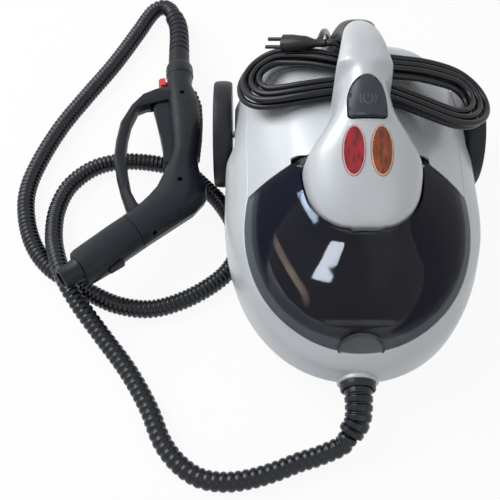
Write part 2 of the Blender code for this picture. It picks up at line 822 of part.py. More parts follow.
def spine_stations(offset=0.0):
    """Place, half width, bottom and top of each station along the spine."""
    stations = []
    for share, width, rise in SPINE_FRONT_SHARES:
        y = share * (SPINE_FRONT + offset)
        stations.append([y, width * SPINE_HALF_WIDTH, SPINE_BOTTOM, SPINE_BOTTOM + rise * SPINE_RISE])
    for share, width, rise, is_cap in SPINE_REAR_SHARES:
        top = SPINE_BOTTOM + rise * SPINE_RISE
        bottom = top - SPINE_CAP_DEPTH - offset if is_cap else SPINE_BOTTOM
        stations.append([share * (SPINE_REAR + offset), width * SPINE_HALF_WIDTH, bottom, top])
    for station in stations:
        station[1] += offset
        station[2] -= offset
        station[3] += offset
    return stations


def spine_ring(y, half_width, bottom, top):
    """One station: a flat foot under a rounded arch."""
    points = []
    for step in range(SPINE_STEPS + 1):
        angle = math.pi * step / SPINE_STEPS
        x = math.copysign(abs(math.cos(angle)) ** (2 / SPINE_ROUNDNESS), math.cos(angle))
        z = math.sin(angle) ** (2 / SPINE_ROUNDNESS) if 0 < step < SPINE_STEPS else 0
        points.append((half_width * x, y, bottom + (top - bottom) * z))
    return points


def spine_solid(name, offset=0.0):
    """The spine as one solid, grown by the offset."""
    return place(name, loft([spine_ring(*station) for station in spine_stations(offset)]))


def spine_plan(gap, rear_y):
    """The bulb's outline seen from above, grown by a gap, up to a rear line."""
    half = [(y, width) for y, width, _, _ in spine_stations() if y < rear_y]
    half = [(y - gap if index == 0 else y, width) for index, (y, width) in enumerate(half)]
    right = [(width + gap, y) for y, width in half]
    left = [(-x, y) for x, y in reversed(right)]
    edge = right[-1][0]
    return right + [(edge, rear_y), (-edge, rear_y)] + left


def build_shells(machine, mats):
    """Lower shell and upper shell."""
    outer = body_solid("lower_shell")
    cavity = body_solid("cavity", -SHELL_WALL, -OVERRUN)
    for side in (1, -1):
        cut(outer, wheel_well(side))
        cut(cavity, wheel_well(side, SHELL_WALL))
    upper = copy_solid(outer, "upper_shell")
    spare = copy_solid(cavity, "spare_cavity")
    cut(outer, cavity, over_parting())
    for side in (1, -1):
        start = side * (WHEEL_INNER_X - WELL_DEPTH_GAP - 2 * SHELL_WALL)
        hole = rod(AXLE_RADIUS + RUNNING_GAP, 3 * SHELL_WALL, HOLE_STEPS, across((start, WHEEL_Y, WHEEL_RADIUS), side))
        cut(outer, place("axle_hole", hole))
    gland = rod(CORD_GLAND_RADIUS + CLEARANCE, CORD_GLAND_LENGTH, HOLE_STEPS,
                along((CORD_GLAND_X, CORD_GLAND_Y - OVERRUN, CORD_GLAND_Z), (0, 1, 0)))
    cut(outer, outlet_hole(), place("gland_hole", gland))
    settle(outer, mats["shell"], machine)
    cut(upper, spare, under_parting(RUNNING_GAP), beside_hood_line(True, RUNNING_GAP))
    for side in (1, -1):
        start = side * (LUG_OUTER_X - LUG_WIDTH)
        relief_width = EAR_INNER_X + EAR_WIDTH + LUG_WIDTH / 2 - abs(start)
        knuckle = rod(HINGE_RELIEF_RADIUS, relief_width, 2 * HOLE_STEPS, across((start, HINGE_Y, HINGE_Z), side))
        cut(upper, place("hinge_relief", knuckle))
    settle(upper, mats["shell"], machine)


def outlet_hole():
    """The round way for the hose's relief through the front wall."""
    reach = BODY_FRONT + OVERRUN + GLAND_ROOT_Y + CLEARANCE
    return place("outlet_hole", rod(GLAND_RADIUS + CLEARANCE, reach, 2 * HOLE_STEPS,
                                    along((0, -BODY_FRONT - OVERRUN, OUTLET_Z), (0, 1, 0))))


def build_pan(machine, mats):
    """Base pan with its flange, castor pocket and boiler posts."""
    def tub(z, grow):
        half = oval(PAN_HALF_WIDTH + grow, (PAN_FRONT + PAN_REAR) / 2 + grow, BODY_STEPS, (0, 0), PAN_ROUNDNESS)
        return [(x, y, z) for x, y in half]

    skirt_height = BODY_RING_SHARES[0][0] * BODY_HEIGHT - CLEARANCE
    under = skirt_height - PAN_FLANGE
    rim = body_rings(-PAN_FLANGE_INSET)[0]
    pan = place("base_pan", loft([
        tub(PAN_BOTTOM, -PAN_FLOOR), tub(PAN_BOTTOM + PAN_FLOOR, 0), tub(under, 0),
        [(x, y, under) for x, y, _ in rim], [(x, y, skirt_height) for x, y, _ in rim]]))
    pocket_top = CASTOR_POCKET_TOP
    outside = rod(CASTOR_POCKET_RADIUS + PAN_FLOOR, pocket_top - PAN_BOTTOM - PAN_FLOOR / 2, 2 * HOLE_STEPS,
                  upright((0, CASTOR_Y, PAN_BOTTOM + PAN_FLOOR / 2)))
    cut(pan, place("tub_cavity", loft([tub(PAN_BOTTOM + PAN_FLOOR, -PAN_FLOOR), tub(skirt_height + OVERRUN, -PAN_FLOOR)])))
    join(pan, place("pocket", outside))
    inside = rod(CASTOR_POCKET_RADIUS, pocket_top - PAN_FLOOR + OVERRUN, 2 * HOLE_STEPS,
                 upright((0, CASTOR_Y, -OVERRUN)))
    bore = rod(STEM_RADIUS + RUNNING_GAP, BODY_HEIGHT / 3, HOLE_STEPS, upright((0, CASTOR_Y, 0)))
    cut(pan, place("pocket_room", inside), place("stem_bore", bore))
    post_height = BOILER_SPLIT - BOILER_FLANGE_THICKNESS / 2 - CLEARANCE - PAN_BOTTOM
    for x, y, _ in boiler_ring(0, BOILER_FLANGE / 2)[2::4]:
        foot = upright((x, y, PAN_BOTTOM + PAN_FLOOR / 2))
        join(pan, place("post", rod(BOILER_FLANGE / 2 - RUNNING_GAP, post_height - PAN_FLOOR / 2, 8, foot)))
    cut(pan, outlet_hole())
    settle(pan, mats["black"], machine)
    axle_low = PAN_BOTTOM + PAN_FLOOR + CLEARANCE
    axle_top = WHEEL_RADIUS + AXLE_BLOCK_WIDTH / 2
    for side, name in ((1, "axle_block_right"), (-1, "axle_block_left")):
        x0, x1 = sorted((side * AXLE_BLOCK_X, side * (AXLE_BLOCK_X + AXLE_BLOCK_WIDTH)))
        outline = [(WHEEL_Y - AXLE_BLOCK_LENGTH / 2, axle_low), (WHEEL_Y + AXLE_BLOCK_LENGTH / 2, axle_low),
                   (WHEEL_Y + AXLE_BLOCK_WIDTH / 2, axle_top), (WHEEL_Y - AXLE_BLOCK_WIDTH / 2, axle_top)]
        bearing = place(name, prism(outline, x0, x1, sideways))
        bore = rod(AXLE_RADIUS + CLEARANCE, 2 * AXLE_BLOCK_WIDTH, HOLE_STEPS,
                   across((x0 - AXLE_BLOCK_WIDTH / 2, WHEEL_Y, WHEEL_RADIUS)))
        cut(bearing, place("axle_bore", bore))
        settle(bearing, mats["grey"], machine)
    reach = WHEEL_INNER_X + WHEEL_WIDTH - HUB_RECESS - CLEARANCE
    axle = rod(AXLE_RADIUS, 2 * reach, 16, across((-reach, WHEEL_Y, WHEEL_RADIUS)))
    settle(place("rear_axle", axle), mats["steel"], machine)


def build_wheels(machine, mats):
    """Both rear wheels, each with a tyre and a hubcap."""
    rim = WHEEL_RADIUS - TYRE_DEPTH
    web_top = WHEEL_WEB
    bore = AXLE_RADIUS + RUNNING_GAP
    rim_wall = TYRE_DEPTH / 2
    cap_top = WHEEL_WIDTH - HUB_RECESS + HUBCAP_DEPTH
    wheel = [(bore, 0), (rim, 0), (rim, WHEEL_WIDTH), (rim - rim_wall, WHEEL_WIDTH), (rim - 2 * rim_wall, web_top),
             (HUB_RADIUS, web_top), (HUB_RADIUS, WHEEL_WIDTH - HUB_RECESS), (bore, WHEEL_WIDTH - HUB_RECESS)]
    seat = rim + CLEARANCE
    tyre = [(seat, 0), (WHEEL_RADIUS - rim_wall, 0), (WHEEL_RADIUS, rim_wall), (WHEEL_RADIUS, WHEEL_WIDTH - rim_wall),
            (WHEEL_RADIUS - rim_wall, WHEEL_WIDTH), (seat, WHEEL_WIDTH)]
    hub_top = WHEEL_WIDTH - HUB_RECESS + CLEARANCE
    skirt = HUBCAP_RADIUS - rim_wall / 2
    cap = [(0, hub_top), (skirt, hub_top), (skirt, web_top + CLEARANCE), (HUBCAP_RADIUS, web_top + CLEARANCE),
           (HUBCAP_RADIUS, cap_top - rim_wall / 2), (HUBCAP_RADIUS - rim_wall, cap_top), (0, cap_top)]
    for side, name in ((1, "right"), (-1, "left")):
        axis = empty("wheel_axis_" + name, (side * WHEEL_INNER_X, WHEEL_Y, WHEEL_RADIUS), machine)
        to_point = across((0, 0, 0), side)
        settle(place("wheel_" + name, turned(wheel, WHEEL_STEPS, to_point)), mats["wheel"], axis, False)
        settle(place("tyre_" + name, turned(tyre, WHEEL_STEPS, to_point)), mats["rubber"], axis, False)
        settle(place("hubcap_" + name, turned(cap, WHEEL_STEPS // 2, to_point)), mats["wheel"], axis, False)


def build_castor(machine, mats):
    """Swivelling front castor in its pocket."""
    swivel = empty("castor_axis", (0, CASTOR_Y, 0), machine)
    top = CASTOR_POCKET_TOP - PAN_FLOOR - RUNNING_GAP
    plate_low = top - FORK_PLATE
    fork = place("castor_fork", rod(FORK_RADIUS, FORK_PLATE, 14, upright((0, 0, plate_low))))
    stem_low = plate_low + FORK_PLATE / 2
    join(fork, place("stem", rod(STEM_RADIUS, CASTOR_STEM_TOP - stem_low, 12, upright((0, 0, stem_low)))))
    inner = CASTOR_WIDTH / 2 + RUNNING_GAP
    foot = CASTOR_RADIUS / 2
    for side in (1, -1):
        outline = [(CASTOR_TRAIL - foot, foot), (CASTOR_TRAIL + foot, foot), (CASTOR_TRAIL + foot, CASTOR_RADIUS + foot),
                   (FORK_RADIUS / 2, plate_low + FORK_PLATE / 2), (-FORK_RADIUS / 2, plate_low + FORK_PLATE / 2)]
        x0, x1 = sorted((side * inner, side * (inner + FORK_PLATE)))
        join(fork, place("cheek", prism(outline, x0, x1, sideways)))
    half = inner + FORK_PLATE
    bore = rod(CASTOR_PIN_RADIUS + CLEARANCE, 3 * half, 8, across((-1.5 * half, CASTOR_TRAIL, CASTOR_RADIUS)))
    cut(fork, place("pin_bore", bore))
    settle(fork, mats["grey"], swivel)
    roll = empty("castor_roll_axis", (0, CASTOR_TRAIL, CASTOR_RADIUS), swivel)
    bore_radius = CASTOR_PIN_RADIUS + CLEARANCE
    edge = CASTOR_WIDTH / 6
    profile = [(bore_radius, -CASTOR_WIDTH / 2), (CASTOR_RADIUS - edge, -CASTOR_WIDTH / 2),
               (CASTOR_RADIUS, edge - CASTOR_WIDTH / 2), (CASTOR_RADIUS, CASTOR_WIDTH / 2 - edge),
               (CASTOR_RADIUS - edge, CASTOR_WIDTH / 2), (bore_radius, CASTOR_WIDTH / 2)]
    settle(place("castor_wheel", turned(profile, 14, across((0, 0, 0)))), mats["rubber"], roll, False)
    pin = rod(CASTOR_PIN_RADIUS, 2 * half, 8, across((-half, CASTOR_TRAIL, CASTOR_RADIUS)))
    settle(place("castor_pin", pin), mats["steel"], swivel)


def boiler_ring(z, grow):
    """The boiler's outline at a height."""
    centre = (0, (BOILER_REAR - BOILER_FRONT) / 2)
    half = (BOILER_REAR + BOILER_FRONT) / 2 + grow
    return [(x, y, z) for x, y in oval(BOILER_HALF_WIDTH + grow, half, 16, centre, BOILER_ROUNDNESS)]


def build_boiler(machine, mats):
    """Two-part boiler with its heater, neck, cap and outlet pipe."""
    wall = BOILER_WALL
    low_flange = BOILER_SPLIT - BOILER_FLANGE_THICKNESS / 2
    top_flange = BOILER_SPLIT + BOILER_FLANGE_THICKNESS / 2
    lower = place("boiler_lower", loft([
        boiler_ring(BOILER_BOTTOM, -BOILER_ROUND), boiler_ring(BOILER_BOTTOM + BOILER_ROUND / 2, -wall / 4),
        boiler_ring(low_flange, 0), boiler_ring(low_flange, BOILER_FLANGE), boiler_ring(BOILER_SPLIT, BOILER_FLANGE)]))
    cut(lower, place("room", loft([
        boiler_ring(BOILER_BOTTOM + wall, -BOILER_ROUND - wall / 2),
        boiler_ring(BOILER_BOTTOM + BOILER_ROUND / 2 + wall, -wall),
        boiler_ring(BOILER_SPLIT + OVERRUN, -wall)])))
    settle(lower, mats["aluminium"], machine)
    start = BOILER_SPLIT + CLEARANCE
    upper = place("boiler_upper", loft([
        boiler_ring(start, BOILER_FLANGE), boiler_ring(top_flange, BOILER_FLANGE), boiler_ring(top_flange, 0),
        boiler_ring(BOILER_TOP - BOILER_ROUND / 2, -wall / 4), boiler_ring(BOILER_TOP, -BOILER_ROUND)]))
    neck_low = BOILER_TOP - 2 * wall
    join(upper, place("neck", rod(NECK_RADIUS, NECK_TOP - neck_low, 18, upright((NECK_X, NECK_Y, neck_low)))))
    cut(upper, place("room", loft([
        boiler_ring(start - OVERRUN, -wall), boiler_ring(BOILER_TOP - BOILER_ROUND / 2 - wall, -wall),
        boiler_ring(BOILER_TOP - wall, -BOILER_ROUND - wall / 2)])))
    cut(upper, place("neck_bore", rod(NECK_BORE, BOILER_HALF_WIDTH, 14, upright((NECK_X, NECK_Y, BOILER_SPLIT)))))
    settle(upper, mats["aluminium"], machine)
    z = BOILER_BOTTOM - HEATER_RADIUS - CLEARANCE
    bend = [(HEATER_SPREAD * math.cos(math.pi * k / 8), HEATER_FRONT_Y - HEATER_SPREAD * math.sin(math.pi * k / 8), z)
            for k in range(9)]
    route = [(HEATER_SPREAD, HEATER_REAR_Y, z)] + bend + [(-HEATER_SPREAD, HEATER_REAR_Y, z)]
    tube("heater", route, [HEATER_RADIUS] * len(route), 1, mats["steel"], machine)
    pipe_front = GLAND_ROOT_Y + CLEARANCE
    pipe_rear = -BOILER_FRONT - CLEARANCE
    pipe = rod(OUTLET_PIPE_RADIUS, pipe_rear - pipe_front, 16, along((0, pipe_front, OUTLET_PIPE_Z), (0, 1, 0)))
    settle(place("outlet_pipe", pipe), mats["brass"], machine)
    # The safety cap screws onto the neck: the threaded insert rises while the knob turns with it
    cap_axis = empty("cap_axis", (NECK_X, NECK_Y, NECK_TOP), machine)
    spigot = NECK_BORE - CAP_GAP
    insert = [(0, -CAP_SPIGOT_LENGTH), (spigot, -CAP_SPIGOT_LENGTH), (spigot, CAP_GAP), (NECK_RADIUS, CAP_GAP),
              (NECK_RADIUS, CAP_SEAL + CAP_GAP), (CAP_STUD_RADIUS, CAP_SEAL + CAP_GAP),
              (CAP_STUD_RADIUS, CAP_HEIGHT / 2), (0, CAP_HEIGHT / 2)]
    settle(place("cap_insert", turned(insert, 16, upright((0, 0, 0)))), mats["brass"], cap_axis, False)
    outline = []
    for step in range(CAP_GRIPS * 4):
        angle = math.tau * step / (CAP_GRIPS * 4)
        radius = CAP_RADIUS - CAP_GRIP_DEPTH * (1 if step % 4 == 0 else 0)
        outline.append((radius * math.cos(angle), radius * math.sin(angle)))
    low = CAP_SEAL + CAP_GAP + CLEARANCE - CAP_SKIRT
    knob = loft([[(a * k, b * k, z) for a, b in outline]
                 for k, z in ((1, low), (1, CAP_HEIGHT - CAP_GRIP_DEPTH), (CAP_CROWN_SHARE, CAP_HEIGHT))])
    knob = place("filler_cap", knob)
    room = [(0, low - OVERRUN), (NECK_RADIUS + RUNNING_GAP, low - OVERRUN),
            (NECK_RADIUS + RUNNING_GAP, CAP_SEAL + CAP_GAP + CLEARANCE),
            (CAP_STUD_RADIUS + CLEARANCE, CAP_SEAL + CAP_GAP + CLEARANCE),
            (CAP_STUD_RADIUS + CLEARANCE, CAP_HEIGHT / 2 + CLEARANCE), (0, CAP_HEIGHT / 2 + CLEARANCE)]
    cut(knob, place("cap_room", turned(room, 16, upright((0, 0, 0)))))
    settle(knob, mats["black"], cap_axis)


def build_cover(machine, mats):
    """Inner cover under the hood, bulkhead, steam tube and terminal block."""
    wide = 2 * BODY_HALF_WIDTH
    cover = body_solid("inner_cover", -COVER_INSET)
    keep(cover, place("slab", block(-wide, wide, -wide, COVER_REAR_Y, COVER_BOTTOM, BODY_HEIGHT)))
    room = body_solid("room", -COVER_INSET - COVER_LEDGE)
    floor = COVER_BOTTOM + COVER_FLOOR
    rear = COVER_REAR_Y - BULKHEAD_THICKNESS
    keep(room, place("slab", block(-wide, wide, -wide, rear, floor, 2 * BODY_HEIGHT)))
    cut(cover, over_parting(-COVER_DROP), room)
    catch = block(-CATCH_WIDTH / 2, CATCH_WIDTH / 2, CATCH_Y - CATCH_DEPTH / 2, CATCH_Y + CATCH_DEPTH / 2,
                  COVER_BOTTOM + COVER_FLOOR / 2, COVER_BOTTOM + CATCH_HEIGHT)
    join(cover, place("catch", catch))
    hole = rod(NECK_RADIUS + CLEARANCE, COVER_BOTTOM, 18, upright((NECK_X, NECK_Y, COVER_BOTTOM / 2)))
    cut(cover, place("neck_hole", hole))
    settle(cover, mats["dark"], machine)
    bulkhead = body_solid("bulkhead", -SHELL_WALL - 2 * CLEARANCE)
    keep(bulkhead, place("slab", block(-wide, wide, COVER_REAR_Y + CLEARANCE, COVER_REAR_Y + BULKHEAD_THICKNESS,
                                       COVER_BOTTOM, BULKHEAD_TOP)))
    settle(bulkhead, mats["dark"], machine)
    places, _ = smooth_route(STEAM_TUBE_POINTS, 1.8 * TUBE_RADIUS)
    tube("steam_tube", places, [TUBE_RADIUS] * len(places), 1, mats["silicone"], machine)
    low = floor + CLEARANCE
    x0, y0 = BLOCK_X - BLOCK_WIDTH / 2, BLOCK_Y - BLOCK_LENGTH / 2
    terminal = place("terminal_block", block(x0, x0 + BLOCK_WIDTH, y0, y0 + BLOCK_LENGTH, low, low + BLOCK_HEIGHT))
    slot = BLOCK_LENGTH / (2 * BLOCK_RIBS + 1)
    for rib in range(BLOCK_RIBS):
        start = y0 + slot * (2 * rib + 1)
        cut(terminal, place("slot", block(x0 - slot, x0 + BLOCK_WIDTH * BLOCK_SLOT_SHARE, start, start + slot,
                                          low + BLOCK_HEIGHT / 2, low + 2 * BLOCK_HEIGHT)))
    settle(terminal, mats["white"], machine)


def build_hood(machine, mats):
    """Smoked hood with its hinge ears, and the grey tab on its front edge."""
    hinge = empty("hood_axis", (0, HINGE_Y, HINGE_Z), machine)
    hood = body_solid("hood")
    cut(hood, body_solid("room", -HOOD_WALL, -OVERRUN), under_parting(RUNNING_GAP),
        beside_hood_line(False, -RUNNING_GAP))
    notch = prism(spine_plan(NOTCH_GAP, 2 * SPINE_REAR), PARTING_CORNER_Z, 2 * BODY_HEIGHT, flat)
    cut(hood, place("notch", notch))
    for side in (1, -1):
        ear = rod(EAR_RADIUS, EAR_WIDTH, 16, across((side * EAR_INNER_X, HINGE_Y, HINGE_Z), side))
        join(hood, place("ear", ear))
    for side in (1, -1):
        bore = rod(HINGE_PIN_RADIUS + CLEARANCE, 3 * EAR_WIDTH, 8,
                   across((side * (EAR_INNER_X - EAR_WIDTH), HINGE_Y, HINGE_Z), side))
        cut(hood, place("ear_bore", bore))
    tab_low, tab_high = PARTING_FRONT_Z / 2, PARTING_CORNER_Z
    centre = (0, PARTING_FRONT_Y)
    gap = oval(TAB_HALF_WIDTH + CLEARANCE, TAB_DEPTH + CLEARANCE, 24, centre)
    cut(hood, place("tab_gap", prism(gap, tab_low, tab_high, flat)))
    settle(hood, mats["smoked"], hinge, True, (0, HINGE_Y, HINGE_Z))
    tab = body_solid("hood_tab", TAB_PROUD)
    keep(tab, place("tab_outline", prism(oval(TAB_HALF_WIDTH, TAB_DEPTH, 24, centre), tab_low, tab_high, flat)))
    cut(tab, body_solid("room", -TAB_WALL, -OVERRUN), under_parting(RUNNING_GAP))
    settle(tab, mats["grey"], hinge, True, (0, HINGE_Y, HINGE_Z))


def button_point(a, b, depth):
    """A place in the button's tilted frame, depth up out of the spine."""
    tilt = math.radians(BUTTON_TILT_DEGREES)
    y = BUTTON_Y + b * math.cos(tilt) - depth * math.sin(tilt)
    return (a, y, BUTTON_Z + b * math.sin(tilt) + depth * math.cos(tilt))


def button_outline(inset):
    """An arch with a flat lower edge and slightly leaning sides."""
    half_width, half_length = BUTTON_HALF_WIDTH - inset, BUTTON_LENGTH / 2 - inset
    corner = BUTTON_CORNER - inset / 2
    points = [(half_width - corner, -half_length), (half_width, -half_length + corner)]
    for step in range(13):
        angle = math.pi * step / 12
        x = half_width * math.cos(angle)
        rise = math.sin(angle) ** (2 / SPINE_ROUNDNESS) if 0 < step < 12 else 0
        points.append((x, half_length * (BUTTON_SHOULDER_SHARE + (1 - BUTTON_SHOULDER_SHARE) * rise)))
    points += [(-half_width, -half_length + corner), (-half_width + corner, -half_length)]
    return points


def build_spine(machine, mats):
    """Spine cover, control plate, lenses, lamps, board, switch, button and hinge pins."""
    spine = spine_solid("spine_cover")
    dome = body_solid("seat", CLEARANCE)
    spare_dome = copy_solid(dome, "spare_seat")
    cut(dome, beside_hood_line(True, RUNNING_GAP - CLEARANCE))
    stations = [s for s in spine_stations(-SPINE_WALL) if s[0] < SPINE_REAR * SPINE_REAR_SHARES[3][0]]
    room = place("room", loft([spine_ring(y, width, SPINE_BOTTOM - OVERRUN, top)
                               for y, width, _, top in stations[::-2][::-1]]))
    cut(spine, dome, room)
    deep, high = -BUTTON_DEPTH, BUTTON_LENGTH
    pocket = prism(button_outline(0), deep - BUTTON_TRAVEL - RUNNING_GAP, high, button_point)
    cut(spine, place("button_hole", pocket))
    lens_low = SPINE_BOTTOM + SPINE_RISE / 4
    for side, name in ((-1, "red"), (1, "amber")):
        centre = (side * LENS_X, LENS_Y)
        hole = oval(LENS_HALF_WIDTH, LENS_HALF_LENGTH, 22, centre)
        cut(spine, place("lens_hole", prism(hole, lens_low, 2 * BODY_HEIGHT, flat)))
        lens = spine_solid("lens_" + name, LENS_PROUD)
        outline = oval(LENS_HALF_WIDTH - CLEARANCE, LENS_HALF_LENGTH - CLEARANCE, 22, centre)
        keep(lens, place("lens_outline", prism(outline, lens_low, 2 * BODY_HEIGHT, flat)))
        cut(lens, spine_solid("lens_back", -LENS_WALL))
        settle(lens, mats["lens_" + name], machine)
        lamp_low = BOARD_Z + BOARD_THICKNESS + CLEARANCE
        lamp = [(0, 0), (LAMP_RADIUS, 0), (LAMP_RADIUS, LAMP_LENGTH - LAMP_RADIUS),
                (LAMP_RADIUS * LAMP_TIP_SHARE, LAMP_LENGTH - LAMP_RADIUS * (1 - LAMP_TIP_SHARE)), (0, LAMP_LENGTH)]
        settle(place("lamp_" + name, turned(lamp, 10, upright((centre[0], centre[1], lamp_low)))),
               mats["glass"], machine, False)
    settle(spine, mats["shell"], machine)
    axis = empty("button_axis", button_point(0, 0, 0), machine)
    button = spine_solid("power_button", BUTTON_PROUD)
    keep(button, place("button_body", prism(button_outline(RUNNING_GAP), deep, high, button_point)))
    settle(button, mats["black"], axis, True, button_point(0, 0, 0))
    top = SPINE_BOTTOM - CLEARANCE
    plate_rear = hood_line(SPINE_BOTTOM) - RUNNING_GAP - CLEARANCE
    plate = place("control_plate", prism(spine_plan(-CLEARANCE, plate_rear), top - CONTROL_PLATE, top, flat))
    for side in (1, -1):
        x0, x1 = sorted((side * (LUG_OUTER_X - LUG_WIDTH), side * LUG_OUTER_X))
        lug = block(x0, x1, HINGE_Y - LUG_LENGTH / 2, HINGE_Y + LUG_LENGTH / 2, top - LUG_HEIGHT, top - CONTROL_PLATE / 2)
        join(plate, place("lug", lug))
    for side in (1, -1):
        bore = rod(HINGE_PIN_RADIUS + CLEARANCE, 2 * LUG_WIDTH, 8,
                   across((side * (LUG_OUTER_X - 1.5 * LUG_WIDTH), HINGE_Y, HINGE_Z), side))
        cut(plate, place("lug_bore", bore))
        post = rod(POST_RADIUS, BOARD_Z - CLEARANCE - top + CONTROL_PLATE / 2, 12,
                   upright((side * BOARD_WIDTH / 3, BOARD_Y - BOARD_LENGTH / 3, top - CONTROL_PLATE / 2)))
        join(plate, place("post", post))
        pin_length = EAR_INNER_X + EAR_WIDTH - (LUG_OUTER_X - LUG_WIDTH) - CLEARANCE
        pin = rod(HINGE_PIN_RADIUS, pin_length, 8, across((side * (LUG_OUTER_X - LUG_WIDTH), HINGE_Y, HINGE_Z), side))
        settle(place("hinge_pin_right" if side > 0 else "hinge_pin_left", pin), mats["steel"], machine)
    settle(plate, mats["dark"], machine)
    board = rounded(BOARD_WIDTH / 2, BOARD_LENGTH / 2, POST_RADIUS, 3, (0, BOARD_Y))
    settle(place("control_board", prism(board, BOARD_Z, BOARD_Z + BOARD_THICKNESS, flat)), mats["board"], machine)
    switch = place("power_switch", block(-SWITCH_WIDTH / 2, SWITCH_WIDTH / 2, SWITCH_Y - SWITCH_LENGTH / 2,
                                         SWITCH_Y + SWITCH_LENGTH / 2, SPINE_BOTTOM, SWITCH_TOP_Z))
    cut(switch, spare_dome)
    settle(switch, mats["white"], machine)


def build_grip(machine, mats):
    """Black lower half of the handle, from the spine's foot over the deck and down."""
    centres = [(share * GRIP_REACH, height * GRIP_HEIGHT) for share, height, _, _ in GRIP_SHARES]
    rings = []
    for index, ((y, z), (_, _, width, thickness)) in enumerate(zip(centres, GRIP_SHARES)):
        before, after = centres[max(index - 1, 0)], centres[min(index + 1, len(centres) - 1)]
        tangent = Vector((after[0] - before[0], after[1] - before[1])).normalized()
        ring = []
        for a, b in oval(width * GRIP_HALF_WIDTH, thickness * GRIP_HALF_THICKNESS, GRIP_STEPS, (0, 0), 2.6):
            ring.append((a, y - tangent.y * b, z + tangent.x * b))
        rings.append(ring)
    grip = place("handle_grip", loft(rings))
    cut(grip, spine_solid("cap_seat", CLEARANCE), body_solid("deck_seat", CLEARANCE))
    settle(grip, mats["black"], machine)


def relief(name, route, start_radius, end_radius, slits, depth, steps):
    """A bend relief: a sleeve along a route with ring slits that let it bend."""
    places, _ = smooth_route(route, depth / 4)
    count = len(places) - 1
    sections = [(0, start_radius)]
    first = RELIEF_PLAIN_SHARE * count
    pitch = (count - first) / (slits + 1)
    for slit in range(slits):
        middle = first + pitch * (slit + 0.5)
        radius = start_radius + (end_radius - start_radius) * middle / count
        for step, inset in ((-0.22, 0), (0, depth), (0.22, 0)):
            sections.append((round(middle + pitch * step), radius - inset))
    sections.append((count, end_radius))
    rings = []
    for index, radius in sections:
        tangent = (places[min(index + 1, count)] - places[max(index - 1, 0)]).normalized()
        side = tangent.cross(Vector((0, 0, 1))).normalized()
        up = side.cross(tangent)
        turns = [math.tau * step / steps for step in range(steps)]
        rings.append([places[index] + radius * (side * math.cos(t) + up * math.sin(t)) for t in turns])
    return place(name, loft(rings))


def build_outlet(machine, mats):
    """Collar and bend relief where the steam hose leaves the machine."""
    front = COLLAR_Y - COLLAR_LENGTH
    profile = [(GLAND_RADIUS + CLEARANCE, 0), (COLLAR_RADIUS - COLLAR_EDGE, 0), (COLLAR_RADIUS, COLLAR_EDGE),
               (COLLAR_RADIUS, 1.5 * COLLAR_LENGTH), (GLAND_RADIUS + CLEARANCE, 1.5 * COLLAR_LENGTH)]
    collar = place("hose_collar", turned(profile, 20, along((0, front, OUTLET_Z), (0, 1, 0))))
    cut(collar, body_solid("front_seat", CLEARANCE))
    settle(collar, mats["shell"], machine)
    gland = relief("hose_gland", [(0, GLAND_ROOT_Y, OUTLET_Z), *GLAND_POINTS], GLAND_RADIUS, GLAND_END_RADIUS, GLAND_SLITS,
                   GLAND_SLIT_DEPTH, 12)
    settle(gland, mats["gloss_black"], machine)


def build_hose(machine, gun, mats):
    """Corrugated steam hose with its bore, from the machine's relief to the gun's."""
    before, start = (machine.matrix_basis @ Vector(p) for p in GLAND_POINTS[-2:])
    near, end = (gun.matrix_basis @ Vector(p) for p in gun_relief_route()[-2:])
    out, back = (start - before).normalized(), (end - near).normalized()
    start, end = start + out * RUNNING_GAP, end + back * RUNNING_GAP
    stub = HOSE_DIAMETER / 4
    print("hose ends", [round(c, 4) for c in start], [round(c, 4) for c in end])
    places, length = smooth_route([start, start + out * stub, *HOSE_POINTS, end + back * stub, end], HOSE_DIAMETER / 20)
    outer, radii = [], []
    count = len(places) - 1
    plain = HOSE_DIAMETER / length
    stations = [0.0, 0.1 * plain, 0.5 * plain, plain]
    for rib in range(HOSE_RIBS):
        stations.append(plain + (1 - 2 * plain) * (rib + 0.5) / HOSE_RIBS)
        stations.append(plain + (1 - 2 * plain) * (rib + 1) / HOSE_RIBS)
    last = len(stations)
    stations += [1 - 0.5 * plain, 1 - 0.1 * plain, 1.0]
    radius = HOSE_DIAMETER / 2
    for index, station in enumerate(stations):
        outer.append(places[round(station * count)])
        is_crest = 3 < index < last and index % 2 == 0
        radii.append(radius if is_crest else radius - HOSE_RIB_DEPTH)
    hose = as_mesh(tube("hose_curve", outer, radii, 2))
    hose.name = "steam_hose"
    first = 2 * places[0] - places[1]
    last = 2 * places[-1] - places[-2]
    inner = [first] + [places[round(k * count / HOSE_BORE_POINTS)] for k in range(1, HOSE_BORE_POINTS)] + [last]
    bore = as_mesh(tube("bore_curve", inner, [HOSE_BORE / 2] * len(inner), 1))
    cut(hose, bore)
    settle(hose, mats["gloss_black"], None)
    print("steam hose length", round(length, 3))


